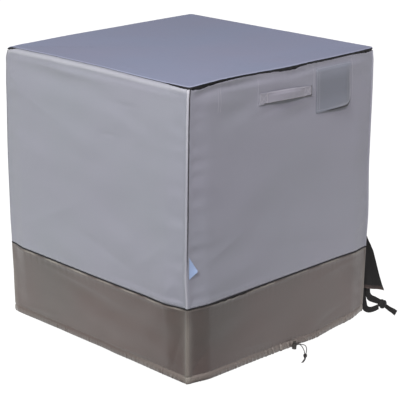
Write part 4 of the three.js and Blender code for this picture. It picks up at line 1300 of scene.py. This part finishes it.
# A groove runs round the barrel under the button.
GROOVE = {"bottom": 0.0022, "top": 0.0030, "deep": 0.0007}
bpy.ops.object.mode_set(mode="EDIT")
for height in (GROOVE["top"], GROOVE["bottom"]):
    bpy.ops.mesh.select_all(action="SELECT")
    bpy.ops.mesh.bisect(plane_co=(0, 0, height), plane_no=(0, 0, 1))
bpy.ops.mesh.select_all(action="DESELECT")
bpy.ops.object.mode_set(mode="OBJECT")
for polygon in barrel.data.polygons:
    in_groove = GROOVE["bottom"] < polygon.center.z < GROOVE["top"]
    polygon.select = in_groove and abs(polygon.normal.z) < 0.5
bpy.ops.object.mode_set(mode="EDIT")
bpy.ops.mesh.extrude_region_shrink_fatten(TRANSFORM_OT_shrink_fatten={"value": -GROOVE["deep"]})
bpy.ops.object.mode_set(mode="OBJECT")
set_in_place(barrel, lock_plastic, 0.0006)
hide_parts("cord_lock")
button = turned_part("cord_lock_button", LOCK["radius"] - 0.0026, 0.0060, LOCK["height"] / 2)
set_in_place(button, lock_plastic, 0.0010)
EYE = {"radius": 0.0030, "rim": 0.0008, "sunk": 0.0004, "z": -0.001}
bpy.ops.object.select_all(action="DESELECT")
bpy.ops.mesh.primitive_torus_add(major_radius=EYE["radius"], minor_radius=EYE["rim"], major_segments=28,
                                 minor_segments=10, location=(LOCK["radius"] - EYE["sunk"], 0, EYE["z"]),
                                 rotation=(0, math.pi / 2, 0))
eye = bpy.context.object
eye.name = "cord_lock_eye"
bpy.ops.object.transform_apply(location=True, rotation=True, scale=True)
set_in_place(eye, lock_plastic, 0.0001)

# The drawcord: both ends of one thin dark braided cord leave the lock's eye, hang down to an overhand
# knot that ties them together, and end in two short tails.
CORD = 0.003
EXIT = (LOCK["x"] + LOCK["radius"] + 3 * GAP, LOCK["z"] + EYE["z"])
# y is the distance behind the lock's middle.
CORDS = {
    "drawcord_near_end": columns("x z y", [
        (EXIT[0], EXIT[1], 0.0017),
        (0.0540, -1.0010, 0.0017),
        (0.0630, -1.0040, 0.0017),
        (0.0720, -1.0100, 0.0017),
        (0.0810, -1.0190, 0.0018),
        (0.0880, -1.0290, 0.0019),
        (0.0940, -1.0400, 0.0020),
        (0.0965, -1.0502, 0.0020),
        (0.0974, -1.0590, 0.0018),
        (0.0968, -1.0675, 0.0016),
        (0.0945, -1.0720, 0.0016),
        (0.0885, -1.0765, 0.0016),
        (0.0808, -1.0812, 0.0016),
    ]),
    "drawcord_far_end": columns("x z y", [
        (EXIT[0], EXIT[1], -0.0017),
        (0.0560, -1.0015, -0.0017),
        (0.0660, -1.0040, -0.0018),
        (0.0770, -1.0080, -0.0022),
        (0.0880, -1.0130, -0.0030),
        (0.0960, -1.0210, -0.0036),
        (0.1000, -1.0320, -0.0036),
        (0.1006, -1.0420, -0.0026),
        (0.0998, -1.0500, -0.0018),
        (0.0985, -1.0590, -0.0018),
        (0.0978, -1.0675, -0.0017),
        (0.0955, -1.0722, -0.0018),
        (0.0900, -1.0762, -0.0018),
        (0.0830, -1.0800, -0.0018),
    ]),
}
DRAWCORD_NODES = {
    "drawcord_near_end": ["drawcord_inner", "drawcord_ends"],
    "drawcord_far_end": ["drawcord_outer"],
}
KNOTTED = {"x": 0.0975, "top": -1.0508, "height": 0.0155}


# The braid's strands are raised, with darker gaps between them.
YARN_DARK = (0.14, 0.12, 0.12)
cord_yarn = grained("cord yarn", "TexVoronoi", 1300, (YARN_DARK, [0.6 * c for c in YARN_DARK]), 0.75,
                    strength=0.6, distance=0.0003, sunk=True)
cord_rings, around = 46, 26
down = np.linspace(0, 1, cord_rings)[:, None]
angles = np.linspace(0, 2 * math.pi, around, endpoint=False)[None, :]
knot_shape = columns("down radius", [
    (0, 0.0036), (0.10, 0.0050), (0.28, 0.0065), (0.42, 0.0058), (0.55, 0.0068), (0.78, 0.0054),
    (0.92, 0.0038), (1, 0.0026),
])
radius = eased(knot_shape, "down", down, "radius") * (1 + 0.09 * np.sin(2 * angles + 9 * down))
x = KNOTTED["x"] + radius * np.cos(angles)
y = LOCK_Y + radius * np.sin(angles)
z = KNOTTED["top"] - KNOTTED["height"] * down + 0.0012 * np.sin(angles + 1) * np.sin(math.pi * down)
body = np.stack([x, y, z + 0 * x], axis=-1)
place = np.arange(cord_rings * around).reshape(cord_rings, around)
beside = np.roll(place, -1, axis=1)
faces = np.stack([place[:-1], place[1:], beside[1:], beside[:-1]], axis=-1).reshape(-1, 4).tolist()
faces.append(place[0].tolist())
faces.append(place[-1, ::-1].tolist())
cord_knot = make_piece("drawcord_overhand_knot", body, faces, cord_yarn, None, 60)
sew_on(cord_knot, "cord", "drawcord_knot")
for name, route in CORDS.items():
    line = smooth_line(np.stack([route["x"], LOCK_Y + route["y"], route["z"]], axis=1), 3)
    curve = bpy.data.curves.new(name, "CURVE")
    curve.dimensions = "3D"
    curve.bevel_depth = CORD / 2
    curve.bevel_resolution = 4
    curve.use_fill_caps = True
    spline = curve.splines.new("POLY")
    spline.points.add(len(line) - 1)
    spline.points.foreach_set("co", np.column_stack([line, np.ones(len(line))]).ravel())
    curve.materials.append(cord_yarn)
    cord = bpy.data.objects.new(name, curve)
    bpy.context.scene.collection.objects.link(cord)
    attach(cord, "root")
    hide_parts(*DRAWCORD_NODES[name])

# The studio: a white sheet under and behind the cover, a lamp from the left and above, a soft panel over
# the front, and a weak lamp from below that lights the band's foot.
CAMERA_PLACE = (-3.4376, -3.4522, 0.9745)
CAMERA_YAW, CAMERA_PITCH, CAMERA_ROLL = (math.radians(a) for a in (44.67, 17.54, 0.49))
SHEET = {"z": -1.115, "ahead": 0.60, "deep": 30, "wide": 60}
bpy.ops.object.select_all(action="DESELECT")
bpy.ops.mesh.primitive_plane_add(size=1, rotation=(0, 0, CAMERA_YAW))
backdrop = bpy.context.object
backdrop.name = "white_backdrop"
backdrop.scale = (SHEET["deep"], SHEET["wide"], 1)
behind = SHEET["deep"] / 2 - SHEET["ahead"]
backdrop.location = (behind * math.cos(CAMERA_YAW), behind * math.sin(CAMERA_YAW), SHEET["z"])
bpy.ops.object.transform_apply(location=True, rotation=True, scale=True)
paint = bpy.data.materials.new("backdrop paint")
paint.use_nodes = True
backdrop_shader = paint.node_tree.nodes["Principled BSDF"]
backdrop_shader.inputs["Base Color"].default_value = (0.10, 0.10, 0.10, 1)
backdrop_shader.inputs["Roughness"].default_value = 0.9
backdrop_shader.inputs["Specular IOR Level"].default_value = 0.1
backdrop_shader.inputs["Emission Color"].default_value = (1, 1, 1, 1)
backdrop_shader.inputs["Emission Strength"].default_value = 1.02
backdrop.data.materials.append(paint)

world = bpy.data.worlds.new("studio surround")
bpy.context.scene.world = world
world.use_nodes = True
world.node_tree.nodes["Background"].inputs["Color"].default_value = (0.97, 0.98, 1, 1)
world.node_tree.nodes["Background"].inputs["Strength"].default_value = 0.18

# Each lamp: where it stands, the point it faces, how large it is, how strong and which tint.
LAMPS = {
    "key": ((-4.7, -1.3, 3.9), (0, 0, -0.4), 1.3, 452, (1, 1, 1)),
    "front_panel": ((-1.6, -3.9, 4.6), (0, 0, -0.4), 1.3, 262, (1, 0.90, 0.99)),
    "low_bounce": ((-3.2, -3.2, -1.9), (-0.4, -0.4, -0.85), 0.8, 22, (1, 0.98, 0.95)),
}
for name, (stand, aim, size, power, tint) in LAMPS.items():
    lamp = bpy.data.lights.new(name, "AREA")
    lamp.shape = "DISK"
    lamp.size = size
    lamp.energy = power
    lamp.color = tint
    holder = bpy.data.objects.new(name, lamp)
    bpy.context.scene.collection.objects.link(holder)
    holder.location = stand
    holder.rotation_euler = (Vector(aim) - Vector(stand)).to_track_quat("-Z", "Y").to_euler()
bpy.context.scene.view_settings.view_transform = "Standard"

# The camera: about a metre over the cover's top and five metres from it, at the photograph's angle.
LENS_MM = 125.66
ahead = math.cos(CAMERA_PITCH)
forward = Vector((math.cos(CAMERA_YAW) * ahead, math.sin(CAMERA_YAW) * ahead, -math.sin(CAMERA_PITCH)))
level = Vector((math.sin(CAMERA_YAW), -math.cos(CAMERA_YAW), 0))
upward = level.cross(forward)
right = math.cos(CAMERA_ROLL) * level + math.sin(CAMERA_ROLL) * upward
upward = math.cos(CAMERA_ROLL) * upward - math.sin(CAMERA_ROLL) * level
camera_data = bpy.data.cameras.new("camera")
camera_data.lens = LENS_MM
camera_data.sensor_width = 36
camera_data.clip_end = 100
camera = bpy.data.objects.new("camera", camera_data)
bpy.context.scene.collection.objects.link(camera)
turned = Matrix((right, upward, -forward)).transposed().to_4x4()
camera.matrix_world = Matrix.Translation(CAMERA_PLACE) @ turned
bpy.context.scene.camera = camera

bpy.context.view_layer.update()
